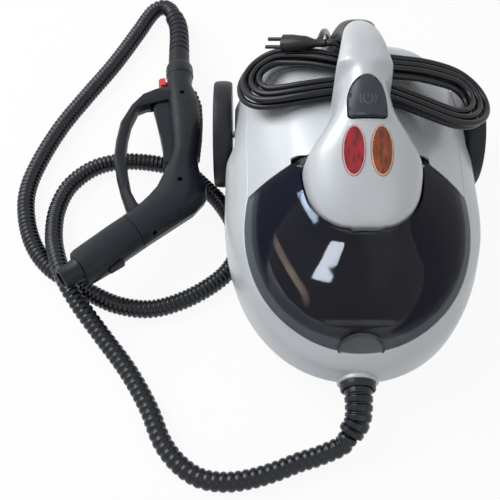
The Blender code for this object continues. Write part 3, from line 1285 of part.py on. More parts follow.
def hank_places():
    """Centreline of the hank: spiralling loops in two layers, drawn in at the waist."""
    places = []
    half = HANK_TURNS / 2
    run = HANK_HALF_LENGTH - HANK_HALF_DEPTH
    for step in range(HANK_FIRST_STEP, HANK_TURNS * HANK_LOOP_STEPS + 1):
        turn = step / HANK_LOOP_STEPS
        offset = HANK_STEP * min(abs(turn - half), half)
        climb = min(max((turn - half) * 2 + 0.5, 0), 1)
        depth, waist = HANK_HALF_DEPTH + offset, HANK_HALF_WAIST + offset
        phase = (turn % 1) * 8
        if phase < 1 or phase > 7:
            u, v = (-phase if phase < 1 else 8 - phase) * run, 1.0
        elif phase < 3:
            angle = math.radians(90) * (phase - 1)
            u, v = -run - depth * math.sin(angle), math.cos(angle)
        elif phase < 5:
            u, v = (phase - 4) * run, -1.0
        else:
            angle = math.radians(90) * (phase - 5)
            u, v = run + depth * math.sin(angle), -math.cos(angle)
        spread = min(abs(u) / run, 1.0)
        spread = spread * spread * (3 - 2 * spread)
        places.append(hank_place(u, v * (waist + (depth - waist) * spread), climb))
    return places


def hank_place(u, v, climb):
    """Lays a place of the hank over the deck, turned askew and drooping at both ends."""
    turn = math.radians(HANK_TURN_DEGREES)
    x, y = u * math.cos(turn) - v * math.sin(turn), u * math.sin(turn) + v * math.cos(turn)
    steep = 2 * HANK_DROOP * x / HANK_HALF_LENGTH ** 2
    z = HANK_Z - HANK_DROOP * (x / HANK_HALF_LENGTH) ** 2 - HANK_FALL * y
    z += HANK_LAYER_HEIGHT * climb * math.hypot(1, steep)
    return Vector((HANK_X + x, HANK_Y + y, z))


def build_cord(machine, mats):
    """Power cord: gland, lead, wound hank and plug."""
    start = (CORD_GLAND_X, CORD_GLAND_Y, CORD_GLAND_Z)
    gland = [(0, 0), (CORD_GLAND_RADIUS, 0), (CORD_GLAND_RADIUS, CORD_GLAND_LENGTH / 2),
             (CORD_DIAMETER / 2 + CORD_GLAND_WALL, CORD_GLAND_LENGTH), (0, CORD_GLAND_LENGTH)]
    settle(place("cord_gland", turned(gland, 20, along(start, (0, 1, 0)))), mats["black"], machine)
    coil = hank_places()
    coil += [Vector(p) for p in HANK_TAIL_POINTS]
    gap = least_self_gap(coil, CORD_DIAMETER)
    print("hank length", round(sum((b - a).length for a, b in zip(coil, coil[1:])), 3), "least gap", round(gap, 5))
    tube("cord_hank", coil, [CORD_DIAMETER / 2] * len(coil), 1, mats["cord"], machine)
    end = Vector(start) + Vector((0, CORD_GLAND_LENGTH + CLEARANCE, 0))
    back = (coil[0] - coil[1]).normalized()
    stop = coil[0] + back * CLEARANCE
    lead_route = [end, end + Vector((0, CORD_DIAMETER * 1.5, 0)), *[Vector(p) for p in LEAD_POINTS],
                  stop + back * CORD_DIAMETER * 1.5, stop]
    places, length = smooth_route(lead_route, CORD_DIAMETER * 1.5)
    tube("cord_lead", places, [CORD_DIAMETER / 2] * len(places), 1, mats["cord"], machine)
    print("lead length", round(length, 3))
    heading = (coil[-1] - coil[-2]).normalized()
    plug_start = coil[-1] + heading * CLEARANCE
    build_plug(plug_start, heading, machine, mats)


def build_plug(start, heading, machine, mats):
    """Flat two-pin plug with its relief."""
    side = heading.cross(Vector((0, 0, 1))).normalized()
    up = side.cross(heading)

    def at(a, b, depth):
        return start + side * a + up * b + heading * depth

    small = CORD_DIAMETER / 2 + CORD_GLAND_WALL
    sections = ((small, small, 0), (small, small, PLUG_RELIEF),
                (PLUG_WIDTH * PLUG_NECK_SHARE / 2, PLUG_HEIGHT / 2, PLUG_RELIEF + PLUG_LENGTH / 4),
                (PLUG_WIDTH / 2, PLUG_HEIGHT / 2, PLUG_RELIEF + PLUG_LENGTH * PLUG_NECK_SHARE),
                (PLUG_WIDTH / 2, PLUG_HEIGHT / 2, PLUG_RELIEF + PLUG_LENGTH))
    rings = [[at(a, b, depth) for a, b in oval(half_a, half_b, 12, (0, 0), PLUG_ROUNDNESS)] for half_a, half_b, depth in sections]
    plug = place("plug", loft(rings))
    end = PLUG_RELIEF + PLUG_LENGTH
    for sign in (1, -1):
        pin_turn = along(at(sign * PIN_SPACING / 2, 0, end - PIN_RADIUS), heading)
        join(plug, place("pin", rod(PIN_RADIUS, PIN_LENGTH, 8, pin_turn)))
    settle(plug, mats["black"], machine)


def least_self_gap(places, diameter):
    """Least space between strands that aren't neighbours along the tube."""
    fine = []
    for a, b in zip(places, places[1:]):
        fine += [a.lerp(b, k / 4) for k in range(4)]
    travel = [0.0]
    for a, b in zip(fine, fine[1:]):
        travel.append(travel[-1] + (b - a).length)
    best = diameter * 10
    for i, a in enumerate(fine):
        for j in range(i + 1, len(fine)):
            if travel[j] - travel[i] > 4 * diameter:
                best = min(best, (fine[j] - a).length)
    return best - diameter


def barrel_point(t, s, w):
    """A place along and across the barrel, in the gun's frame."""
    angle = math.radians(GUN_BARREL_DEGREES)
    return Vector((t * math.cos(angle) + s * math.sin(angle), t * math.sin(angle) - s * math.cos(angle), w))


def gun_ring(first, second, half_thickness, steps=GUN_STEPS):
    """One section between two edge points of the gun's outline."""
    centre, half = (first + second) / 2, (second - first) / 2
    ring = []
    for a, b in oval(1, 1, steps, (0, 0), GUN_ROUNDNESS):
        ring.append(centre + half * a + Vector((0, 0, half_thickness * b)))
    return ring


def gun_body():
    """Grip, elbow and the barrel's root as one solid."""
    rings = []
    for v, left, right, thick in GRIP_EDGE_SHARES:
        first = Vector((left * GUN_GRIP_WIDTH, v * GUN_GRIP_LENGTH, 0))
        second = Vector((right * GUN_GRIP_WIDTH, v * GUN_GRIP_LENGTH, 0))
        rings.append(gun_ring(first, second, thick * GUN_HALF_THICKNESS))
    for left, low, right, high in ELBOW_EDGE_SHARES:
        first = Vector((left * GUN_GRIP_WIDTH, low * GUN_GRIP_LENGTH, 0))
        second = Vector((right * GUN_GRIP_WIDTH, high * GUN_GRIP_LENGTH, 0))
        rings.append(gun_ring(first, second, GUN_HALF_THICKNESS))
    for t, high, low in BARREL_EDGE_SHARES[:2]:
        rings.append(barrel_ring(t, high, low))
    return place("gun_body", loft(rings))


def barrel_ring(t, high, low):
    """One section of the barrel, its edges as shares of the barrel's width."""
    first = barrel_point(t * GUN_BARREL_LENGTH, high * GUN_BARREL_WIDTH, 0)
    second = barrel_point(t * GUN_BARREL_LENGTH, low * GUN_BARREL_WIDTH, 0)
    return gun_ring(first, second, GUN_HALF_THICKNESS)


def build_gun(mats):
    """Steam gun: two shells, guard, trigger, lock, collar, relief, sleeve and nozzle."""
    gun = empty("gun", (GUN_ELBOW_X, GUN_ELBOW_Y, GUN_ELBOW_HEIGHT))
    gun.rotation_euler = [math.radians(a) for a in (GUN_PITCH_DEGREES, GUN_ROLL_DEGREES, GUN_TURN_DEGREES)]
    body = gun_body()
    guard_rings = []
    for outer_u, outer_v, inner_u, inner_v, thick in GUARD_EDGE_SHARES:
        first = Vector((outer_u * GUN_GRIP_WIDTH, outer_v * GUN_GRIP_LENGTH, 0))
        second = Vector((inner_u * GUN_GRIP_WIDTH, inner_v * GUN_GRIP_LENGTH, 0))
        guard_rings.append(gun_ring(first, second, thick * GUARD_HALF_THICKNESS, 2 * GUN_STEPS // 3))
    join(body, place("guard", loft(guard_rings)))
    slot_half = TRIGGER_HALF_THICKNESS + RUNNING_GAP
    cut(body, place("trigger_slot", block(TRIGGER_SLOT_FRONT, TRIGGER_SLOT_BACK, TRIGGER_SLOT_BOTTOM,
                                          TRIGGER_SLOT_TOP, -slot_half, slot_half)))
    pad_low, pad_high = PAD_LOW_SHARE * GUN_GRIP_LENGTH, PAD_HIGH_SHARE * GUN_GRIP_LENGTH
    pad_back = PAD_BACK
    half = PAD_HALF_WIDTH + CLEARANCE
    cut(body, place("pad_seat", block(pad_back - CLEARANCE, GUN_GRIP_WIDTH, pad_low - CLEARANCE, pad_high + CLEARANCE,
                                      -half, half)))
    pin_low = -TRIGGER_PIN_HALF - CLEARANCE
    pin_hole = rod(TRIGGER_PIN_RADIUS + CLEARANCE, -2 * pin_low, 8,
                   upright((TRIGGER_PIVOT_U, TRIGGER_PIVOT_V, pin_low)))
    cut(body, place("pin_hole", pin_hole))
    lock_half = LOCK_STEM_WIDTH / 2 + CLEARANCE
    cut(body, place("lock_slot", block(-GUN_GRIP_WIDTH, LOCK_EDGE + LOCK_STEM + CLEARANCE, LOCK_V - lock_half,
                                       LOCK_V + LOCK_TRAVEL + lock_half, -lock_half, lock_half)))
    other = copy_solid(body, "gun_shell_upper")
    body.name = "gun_shell_lower"
    wide = 2 * GUN_GRIP_LENGTH
    keep(body, place("under", block(-wide, wide, -wide, wide, -wide, 0)))
    keep(other, place("over", block(-wide, wide, -wide, wide, CLEARANCE, wide)))
    settle(body, mats["charcoal"], gun)
    settle(other, mats["charcoal"], gun)
    build_trigger(gun, mats)
    build_grip_pad(gun, mats, pad_back, pad_low, pad_high)
    build_gun_end(gun, mats)
    build_barrel(gun, mats)
    return gun


def build_trigger(gun, mats):
    """Trigger on its pin, the steam valve behind it and the red lock beside it."""
    pivot = empty("trigger_axis", (TRIGGER_PIVOT_U, TRIGGER_PIVOT_V, 0), gun)
    outline = [(u * GUN_GRIP_WIDTH, v * GUN_GRIP_LENGTH) for u, v in TRIGGER_SHARES]
    rings = []
    centre_u = sum(u for u, _ in outline) / len(outline)
    for scale, w in ((TRIGGER_EDGE_SHARE, -1), (1, -TRIGGER_FLAT_SHARE), (1, TRIGGER_FLAT_SHARE), (TRIGGER_EDGE_SHARE, 1)):
        rings.append([(centre_u + (u - centre_u) * scale, v, w * TRIGGER_HALF_THICKNESS) for u, v in outline])
    trigger = place("trigger", loft(rings))
    bore = rod(TRIGGER_PIN_RADIUS + CLEARANCE, 4 * TRIGGER_HALF_THICKNESS, 8,
               upright((TRIGGER_PIVOT_U, TRIGGER_PIVOT_V, -2 * TRIGGER_HALF_THICKNESS)))
    cut(trigger, place("trigger_bore", bore))
    settle(trigger, mats["charcoal"], pivot, True, (TRIGGER_PIVOT_U, TRIGGER_PIVOT_V, 0))
    pin = rod(TRIGGER_PIN_RADIUS, 2 * TRIGGER_PIN_HALF, 8,
              upright((TRIGGER_PIVOT_U, TRIGGER_PIVOT_V, -TRIGGER_PIN_HALF)))
    settle(place("trigger_pin", pin), mats["steel"], gun)
    back = TRIGGER_SLOT_BACK - CLEARANCE
    valve = block(back - VALVE_WIDTH, back, VALVE_V - VALVE_LENGTH / 2, VALVE_V + VALVE_LENGTH / 2,
                  -TRIGGER_HALF_THICKNESS + RUNNING_GAP, TRIGGER_HALF_THICKNESS - RUNNING_GAP)
    settle(place("steam_valve", valve), mats["brass"], gun)
    lock_u = LOCK_EDGE
    lock_axis = empty("lock_axis", (lock_u, LOCK_V, 0), gun)
    knob_low = LOCK_V - LOCK_LENGTH / 2
    outline = [(lock_u - CLEARANCE, knob_low), (lock_u - CLEARANCE, knob_low + LOCK_LENGTH),
               (lock_u - LOCK_REACH * LOCK_TOP_SHARE, knob_low + LOCK_LENGTH),
               (lock_u - LOCK_REACH, knob_low + LOCK_LENGTH * LOCK_TOP_SHARE),
               (lock_u - LOCK_REACH, knob_low + LOCK_LENGTH * (1 - LOCK_TOP_SHARE)),
               (lock_u - LOCK_REACH * LOCK_TOP_SHARE, knob_low)]
    lock = place("trigger_lock", prism(outline, -LOCK_WIDTH / 2, LOCK_WIDTH / 2, flat))
    stem = LOCK_STEM_WIDTH / 2
    join(lock, place("lock_stem", block(lock_u - LOCK_REACH / 2, lock_u + LOCK_STEM, LOCK_V - stem, LOCK_V + stem,
                                        -stem, stem)))
    settle(lock, mats["red"], lock_axis, True, (lock_u, LOCK_V, 0))


def build_grip_pad(gun, mats, back, low, high):
    """Ribbed insert along the back of the grip."""
    points = [(back, low)]
    pitch = (high - low) / PAD_RIBS
    for rib in range(PAD_RIBS):
        for part, proud in ((0, 0), (PAD_RIB_SHARE, 1), (1.3 * PAD_RIB_SHARE, 1)):
            v = low + pitch * (rib + part)
            points.append((grip_edge(v) - PAD_SINK + proud * PAD_PROUD, v))
    points += [(grip_edge(high) - PAD_SINK, high), (back, high)]
    pad = prism(points, -PAD_HALF_WIDTH, PAD_HALF_WIDTH, flat)
    settle(place("grip_pad", pad), mats["rubber"], gun, False)


def grip_edge(v):
    """The grip's outer edge at a place along it."""
    share = v / GUN_GRIP_LENGTH
    rows = [(row[0], row[2]) for row in GRIP_EDGE_SHARES]
    for (v1, r1), (v0, r0) in zip(rows, rows[1:]):
        if v0 <= share <= v1:
            return (r0 + (r1 - r0) * (share - v0) / (v1 - v0)) * GUN_GRIP_WIDTH
    return rows[0][1] * GUN_GRIP_WIDTH


def gun_relief_route():
    """Route of the gun's bend relief in the gun's frame, from its root."""
    start = GUN_GRIP_LENGTH + GUN_COLLAR_LENGTH + 2 * CLEARANCE
    return [(GUN_COLLAR_SHIFT + bend * RELIEF_LENGTH, start + way * RELIEF_LENGTH, 0)
            for bend, way in RELIEF_BEND_SHARES]


def build_gun_end(gun, mats):
    """Collar and bend relief where the hose enters the grip."""
    low = GUN_GRIP_LENGTH + CLEARANCE
    edge = COLLAR_EDGE
    profile = [(0, 0), (GUN_COLLAR_RADIUS - edge, 0), (GUN_COLLAR_RADIUS, edge),
               (GUN_COLLAR_RADIUS, GUN_COLLAR_LENGTH * GUN_COLLAR_SHARE),
               (RELIEF_RADIUS + edge, GUN_COLLAR_LENGTH), (0, GUN_COLLAR_LENGTH)]
    settle(place("gun_collar", turned(profile, 16, along((GUN_COLLAR_SHIFT, low, 0), (0, 1, 0)))), mats["charcoal"],
           gun)
    settle(relief("gun_relief", gun_relief_route(), RELIEF_RADIUS, RELIEF_END_RADIUS, RELIEF_SLITS, RELIEF_SLIT_DEPTH, 12),
           mats["charcoal"], gun)


def build_barrel(gun, mats):
    """Accessory sleeve with its latch button, the nozzle and the steam jet."""
    rows = BARREL_EDGE_SHARES[1:]
    gap = CLEARANCE / GUN_BARREL_LENGTH
    rings = [barrel_ring(rows[0][0] + gap, rows[0][1], rows[0][2])]
    rings += [barrel_ring(t, high, low) for t, high, low in rows[1:]]
    sleeve = place("nozzle_sleeve", loft(rings))
    t = LATCH_SHARE * GUN_BARREL_LENGTH
    edge = LATCH_EDGE
    half_t, half_w = LATCH_LENGTH / 2, LATCH_WIDTH / 2
    deep = LATCH_DEPTH + LATCH_TRAVEL + CLEARANCE

    def latch_point(a, b, depth):
        return barrel_point(t + a, edge + depth, b)

    pocket = rounded(half_t + CLEARANCE, half_w + CLEARANCE, half_w / 2 + CLEARANCE, 3)
    cut(sleeve, place("latch_pocket", prism(pocket, -2 * LATCH_PROUD, deep, latch_point)))
    settle(sleeve, mats["charcoal"], gun)
    axis = empty("latch_axis", latch_point(0, 0, 0), gun)
    latch = place("sleeve_latch", prism(rounded(half_t, half_w, half_w / 2, 3), -LATCH_PROUD, LATCH_DEPTH, latch_point))
    settle(latch, mats["charcoal"], axis, True, latch_point(0, 0, 0))
    start = rows[-1][0] * GUN_BARREL_LENGTH + CLEARANCE
    length = GUN_BARREL_LENGTH - start
    direction = barrel_point(1, 0, 0)
    floor = length * NOZZLE_FLOOR_SHARE
    edge = COLLAR_EDGE / 2
    profile = [(0, 0), (GUN_NOZZLE_ROOT, 0), (GUN_NOZZLE_RADIUS, length * NOZZLE_TAPER_SHARE),
               (GUN_NOZZLE_RADIUS, length - edge), (GUN_NOZZLE_RADIUS - edge, length), (GUN_NOZZLE_BORE, length),
               (GUN_NOZZLE_BORE, floor), (0, floor)]
    settle(place("nozzle", turned(profile, 16, along(barrel_point(start, 0, 0), direction))), mats["charcoal"], gun)
    jet_length = (length - floor) * JET_SHARE
    jet = [(0, 0), (JET_RADIUS, 0), (JET_RADIUS, jet_length), (JET_BORE, jet_length), (JET_BORE, jet_length / 2),
           (0, jet_length / 2)]
    settle(place("steam_jet", turned(jet, 10, along(barrel_point(start + floor + CLEARANCE, 0, 0), direction))),
           mats["brass"], gun)


def main():
    """Builds every piece."""
    for obj in list(bpy.data.objects):
        bpy.data.objects.remove(obj)
    mats = {
        "shell": finish("pearl_shell", (0.72, 0.75, 0.80), 0.28),
        "smoked": finish("smoked_hood", (0.03, 0.03, 0.06), 0.08, 0.0, 0.5),
        "black": finish("black_plastic", (0.02, 0.022, 0.026), 0.45),
        "gloss_black": finish("hose_black", (0.015, 0.017, 0.022), 0.25),
        "charcoal": finish("charcoal_plastic", (0.035, 0.038, 0.045), 0.5),
        "dark": finish("dark_liner", (0.015, 0.014, 0.02), 0.5),
        "grey": finish("grey_plastic", (0.25, 0.26, 0.28), 0.4),
        "wheel": finish("wheel_plastic", (0.10, 0.11, 0.12), 0.4),
        "rubber": finish("soft_rubber", (0.03, 0.03, 0.033), 0.7),
        "cord": finish("cord_black", (0.012, 0.013, 0.017), 0.3),
        "steel": finish("steel", (0.6, 0.6, 0.62), 0.3, 1.0),
        "aluminium": finish("cast_aluminium", (0.55, 0.56, 0.58), 0.45, 1.0),
        "brass": finish("brass", (0.65, 0.48, 0.22), 0.3, 1.0),
        "silicone": finish("silicone_tube", (0.75, 0.60, 0.50), 0.5),
        "white": finish("white_plastic", (0.80, 0.80, 0.82), 0.4),
        "board": finish("circuit_board", (0.05, 0.25, 0.12), 0.5),
        "glass": finish("lamp_glass", (0.9, 0.85, 0.8), 0.1, 0.0, 0.8),
        "lens_red": finish("lens_red", (0.55, 0.02, 0.04), 0.1),
        "lens_amber": finish("lens_amber", (0.50, 0.10, 0.01), 0.1),
        "red": finish("red_plastic", (0.70, 0.08, 0.05), 0.4),
    }
    machine = empty("machine", (MACHINE_CENTRE_X, MACHINE_CENTRE_Y, 0))
    build_shells(machine, mats)
    build_pan(machine, mats)
    build_wheels(machine, mats)
    build_castor(machine, mats)
    build_boiler(machine, mats)
    build_cover(machine, mats)
    build_hood(machine, mats)
    build_spine(machine, mats)
    build_grip(machine, mats)
    build_outlet(machine, mats)
    build_cord(machine, mats)
    gun = build_gun(mats)
    build_hose(machine, gun, mats)


main()
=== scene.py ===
"""Looks for the canister steam cleaner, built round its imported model.

Metres, +Z up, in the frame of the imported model. The camera and the cords come first, then materials, the dressed
nodes, the small details, and the stage.
"""
import json
import math

import bmesh
import bpy
from mathutils import Euler, Matrix, Vector
from mathutils.bvhtree import BVHTree


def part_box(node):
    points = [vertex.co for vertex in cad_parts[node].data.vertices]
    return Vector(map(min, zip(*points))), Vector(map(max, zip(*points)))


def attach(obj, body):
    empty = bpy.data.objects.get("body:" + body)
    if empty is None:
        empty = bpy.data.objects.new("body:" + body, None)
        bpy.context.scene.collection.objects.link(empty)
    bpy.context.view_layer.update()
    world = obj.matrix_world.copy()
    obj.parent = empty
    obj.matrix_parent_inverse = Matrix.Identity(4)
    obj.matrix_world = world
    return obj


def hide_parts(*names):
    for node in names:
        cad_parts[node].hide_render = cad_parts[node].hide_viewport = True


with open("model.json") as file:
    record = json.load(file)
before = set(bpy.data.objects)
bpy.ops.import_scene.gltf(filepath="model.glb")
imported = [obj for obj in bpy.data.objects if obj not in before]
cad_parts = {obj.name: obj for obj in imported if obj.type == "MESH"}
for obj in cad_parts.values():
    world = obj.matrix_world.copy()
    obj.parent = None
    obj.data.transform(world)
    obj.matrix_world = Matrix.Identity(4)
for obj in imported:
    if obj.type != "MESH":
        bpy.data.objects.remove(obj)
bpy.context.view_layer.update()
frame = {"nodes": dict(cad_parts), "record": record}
NODES = frame["nodes"]

# Where the machine and the gun stand, as in the model
MACHINE = Vector((0.0794, -0.0550, 0.0))
GUN_ELBOW = Vector((-0.0936, -0.0250, 0.0435))
GUN_DEGREES = (-4.45, 3.6, 4.0)

# Camera: over the floor before the machine, looking down at it
PICTURE = 500
FOCAL_PIXELS = 870.0
SENSOR = 36.0
CAMERA_DISTANCE = 0.967
CAMERA_ELEVATION = 60.0
CAMERA_AIM = Vector((-0.0256, -0.0550, 0.0))

# Steam hose
HOSE_DIAMETER = 0.020
HOSE_WIDE_PITCH = 0.0076
HOSE_NARROW_PITCH = 0.0051
HOSE_WIDE_END = 0.20
HOSE_NARROW_START = 0.60
HOSE_VALLEY = 0.0017
HOSE_SIDES = 20
HOSE_RINGS_A_RIB = 6
HOSE_FINE_STEP = 0.0005
HOSE_BORE = 0.009
HOSE_GAP = 0.0006
HOSE_CREST_POWER = 0.7
HOSE_LINING_EVERY = 40
ROUTE_STEPS = 24
# the last two points of the relief at the machine, of the route over the floor, and of the relief at the gun
HOSE_ROOT = ((0.0774, -0.2635, 0.0290), (0.0704, -0.2735, 0.0225))
HOSE_POINTS = (
    (0.0614, -0.2830, 0.0150), (0.0404, -0.2910, 0.0108), (0.0214, -0.2970, 0.0103),
    (-0.0016, -0.3060, 0.0103), (-0.0256, -0.3130, 0.0103), (-0.0496, -0.3160, 0.0103),
    (-0.0736, -0.3120, 0.0103), (-0.0946, -0.2980, 0.0103), (-0.1116, -0.2760, 0.0103),
    (-0.1266, -0.2420, 0.0103), (-0.1496, -0.2030, 0.0103), (-0.1796, -0.1640, 0.0130),
    (-0.2036, -0.1340, 0.0225), (-0.2186, -0.1110, 0.0310), (-0.2326, -0.0790, 0.0255),
    (-0.2416, -0.0450, 0.0160), (-0.2426, -0.0090, 0.0112), (-0.2316, 0.0240, 0.0103),
    (-0.2056, 0.0490, 0.0103), (-0.1716, 0.0580, 0.0103), (-0.1306, 0.0540, 0.0103),
    (-0.0986, 0.0420, 0.0103), (-0.0786, 0.0230, 0.0103), (-0.0596, 0.0010, 0.0103),
    (-0.0446, -0.0260, 0.0103), (-0.0366, -0.0560, 0.0103), (-0.0486, -0.0860, 0.0103),
    (-0.0716, -0.1080, 0.0103), (-0.1016, -0.1250, 0.0103), (-0.1316, -0.1330, 0.0103),
    (-0.1636, -0.1290, 0.0103), (-0.1906, -0.1170, 0.0103), (-0.2166, -0.1010, 0.0103),
    (-0.2426, -0.0830, 0.0103), (-0.2626, -0.0570, 0.0103), (-0.2756, -0.0220, 0.0103),
    (-0.2796, 0.0160, 0.0103), (-0.2706, 0.0580, 0.0103), (-0.2506, 0.1090, 0.0103),
    (-0.2236, 0.1580, 0.0103), (-0.1946, 0.2080, 0.0103), (-0.1676, 0.2630, 0.0105),
    (-0.1586, 0.2820, 0.0115), (-0.1491, 0.2965, 0.0130), (-0.1381, 0.3005, 0.0152),
    (-0.1291, 0.2930, 0.0180),
)
GUN_RELIEF_START = 0.2136
GUN_RELIEF_LENGTH = 0.092
GUN_RELIEF_SHIFT = -0.0025
GUN_RELIEF_SHARES = ((0.0, 0.0), (0.0, 0.120), (0.008, 0.350), (0.015, 0.600), (0.004, 0.820), (-0.045, 1.000))

# Mains cord, in the machine's frame
CORD_DIAMETER = 0.0065
CORD_EXIT = Vector((-0.0180, 0.1863, 0.1120))
CORD_SIDES = 14
CORD_STUB = 1.5 * CORD_DIAMETER
LEAD_POINTS = (
    (-0.0190, 0.2000, 0.1230), (-0.0215, 0.1955, 0.1345), (-0.0245, 0.1870, 0.1455), (-0.0275, 0.1770, 0.1550),
    (-0.0300, 0.1660, 0.1620), (-0.0330, 0.1555, 0.1660), (-0.0390, 0.1475, 0.1672), (-0.0485, 0.1445, 0.1662),
)
HANK_TURNS = 6
HANK_LOOP_STEPS = 24
HANK_FIRST_STEP = 3
HANK_TURN_DEGREES = -10
HANK_HALF_LENGTH = 0.103
HANK_HALF_DEPTH = 0.017
HANK_HALF_WAIST = 0.0050
HANK_STEP = 0.0079
HANK_LAYER_HEIGHT = 0.0075
HANK_CENTRE = Vector((0.008, 0.092, 0.1778))
HANK_DROOP = 0.0223
HANK_FALL = 0.13
HANK_TAIL_POINTS = (
    (0.0020, 0.1219, 0.1862), (-0.0099, 0.1208, 0.1892), (-0.0200, 0.1250, 0.1933), (-0.0290, 0.1275, 0.1907),
)


# Camera

def shown(name, data):
    """A new object in the scene."""
    obj = bpy.data.objects.new(name, data)
    bpy.context.scene.collection.objects.link(obj)
    return obj


def make_camera():
    """The photograph's camera, from its distance, height angle and focal length."""
    data = bpy.data.cameras.new("camera")
    data.sensor_width = SENSOR
    data.lens = FOCAL_PIXELS / PICTURE * SENSOR
    data.clip_start = 0.01
    data.clip_end = 50
    camera = shown("camera", data)
    angle = math.radians(CAMERA_ELEVATION)
    back = Vector((0, -math.cos(angle), math.sin(angle)))
    camera.location = CAMERA_AIM + back * CAMERA_DISTANCE
    camera.rotation_euler = (math.radians(90 - CAMERA_ELEVATION), 0, 0)
    bpy.context.scene.camera = camera
    return camera


CAMERA = make_camera()


def ray_through(pixel):
    """The camera's place and the direction through a pixel of the photograph."""
    across = (pixel[0] - PICTURE / 2) / FOCAL_PIXELS
    down = (pixel[1] - PICTURE / 2) / FOCAL_PIXELS
    turn = CAMERA.rotation_euler.to_matrix()
    return CAMERA.location.copy(), (turn @ Vector((across, -down, -1))).normalized()


def surface_tree(obj):
    """A search tree over an object's faces."""
    mesh = obj.data
    return BVHTree.FromPolygons([v.co for v in mesh.vertices], [tuple(p.vertices) for p in mesh.polygons])


def seen(pixel, name):
    """The place and the normal where a pixel's ray first meets a node."""
    start, direction = ray_through(pixel)
    place, normal, _, _ = surface_tree(NODES[name]).ray_cast(start, direction)
    if place is None:
        raise ValueError(f"pixel {pixel} misses {name}")
    return place, normal if normal.dot(direction) < 0 else -normal


# Curves and tubes

def smooth_route(points, spacing):
    """Evenly spaced places on a smooth curve through the points."""
    knots = [Vector(p) for p in points]
    knots = [2 * knots[0] - knots[1]] + knots + [2 * knots[-1] - knots[-2]]
    fine = []
    for before, start, stop, after in zip(knots, knots[1:], knots[2:], knots[3:]):
        for step in range(ROUTE_STEPS):
            t = step / ROUTE_STEPS
            fine.append(0.5 * (2 * start + (stop - before) * t
                               + (2 * before - 5 * start + 4 * stop - after) * t ** 2
                               + (3 * start - before - 3 * stop + after) * t ** 3))
    fine.append(knots[-2])
    length = sum((b - a).length for a, b in zip(fine, fine[1:]))
    count = max(2, round(length / spacing))
    places, walked, goal = [fine[0]], 0.0, length / count
    for a, b in zip(fine, fine[1:]):
        step = (b - a).length
        while goal <= walked + step and len(places) < count:
            places.append(a.lerp(b, (goal - walked) / step))
            goal += length / count
        walked += step
    places.append(fine[-1])
    return places


def link(name, bm, smooth=True):
    """Turns a bmesh into a linked object."""
    mesh = bpy.data.meshes.new(name)
    bm.to_mesh(mesh)
    bm.free()
    if smooth:
        mesh.shade_smooth()
    return shown(name, mesh)


def frames_along(places):
    """A side and an up direction at each place, turning as little as they can."""
    tangents = [(places[min(i + 1, len(places) - 1)] - places[max(i - 1, 0)]).normalized()
                for i in range(len(places))]
    side = tangents[0].cross(Vector((0, 0, 1))).normalized()
    found = []
    for tangent in tangents:
        side = (side - tangent * side.dot(tangent)).normalized()
        found.append((side, side.cross(tangent)))
    return found


def skin_rings(bm, rings, closed_ends=True):
    """Joins rings of points by quads."""
    loops = [[bm.verts.new(p) for p in ring] for ring in rings]
    count = len(loops[0])
    for near, far in zip(loops, loops[1:]):
        for i in range(count):
            bm.faces.new((near[i], near[(i + 1) % count], far[(i + 1) % count], far[i]))
    if closed_ends:
        bm.faces.new(list(reversed(loops[0])))
        bm.faces.new(loops[-1])


def ring_at(place, side, up, radius, sides):
    """A circle of points round a place."""
    return [place + radius * (side * math.cos(math.tau * k / sides) + up * math.sin(math.tau * k / sides))
            for k in range(sides)]


def gun_matrix():
    """The gun's own frame: u across the grip, v along it and w up through it."""
    turn = Euler([math.radians(a) for a in GUN_DEGREES]).to_matrix().to_4x4()
    return Matrix.Translation(GUN_ELBOW) @ turn


GUN = gun_matrix()


def gun_relief_route():
    """The route of the relief at the gun, from its root."""
    return [GUN @ Vector((GUN_RELIEF_SHIFT + bend * GUN_RELIEF_LENGTH,
                          GUN_RELIEF_START + way * GUN_RELIEF_LENGTH, 0)) for bend, way in GUN_RELIEF_SHARES]


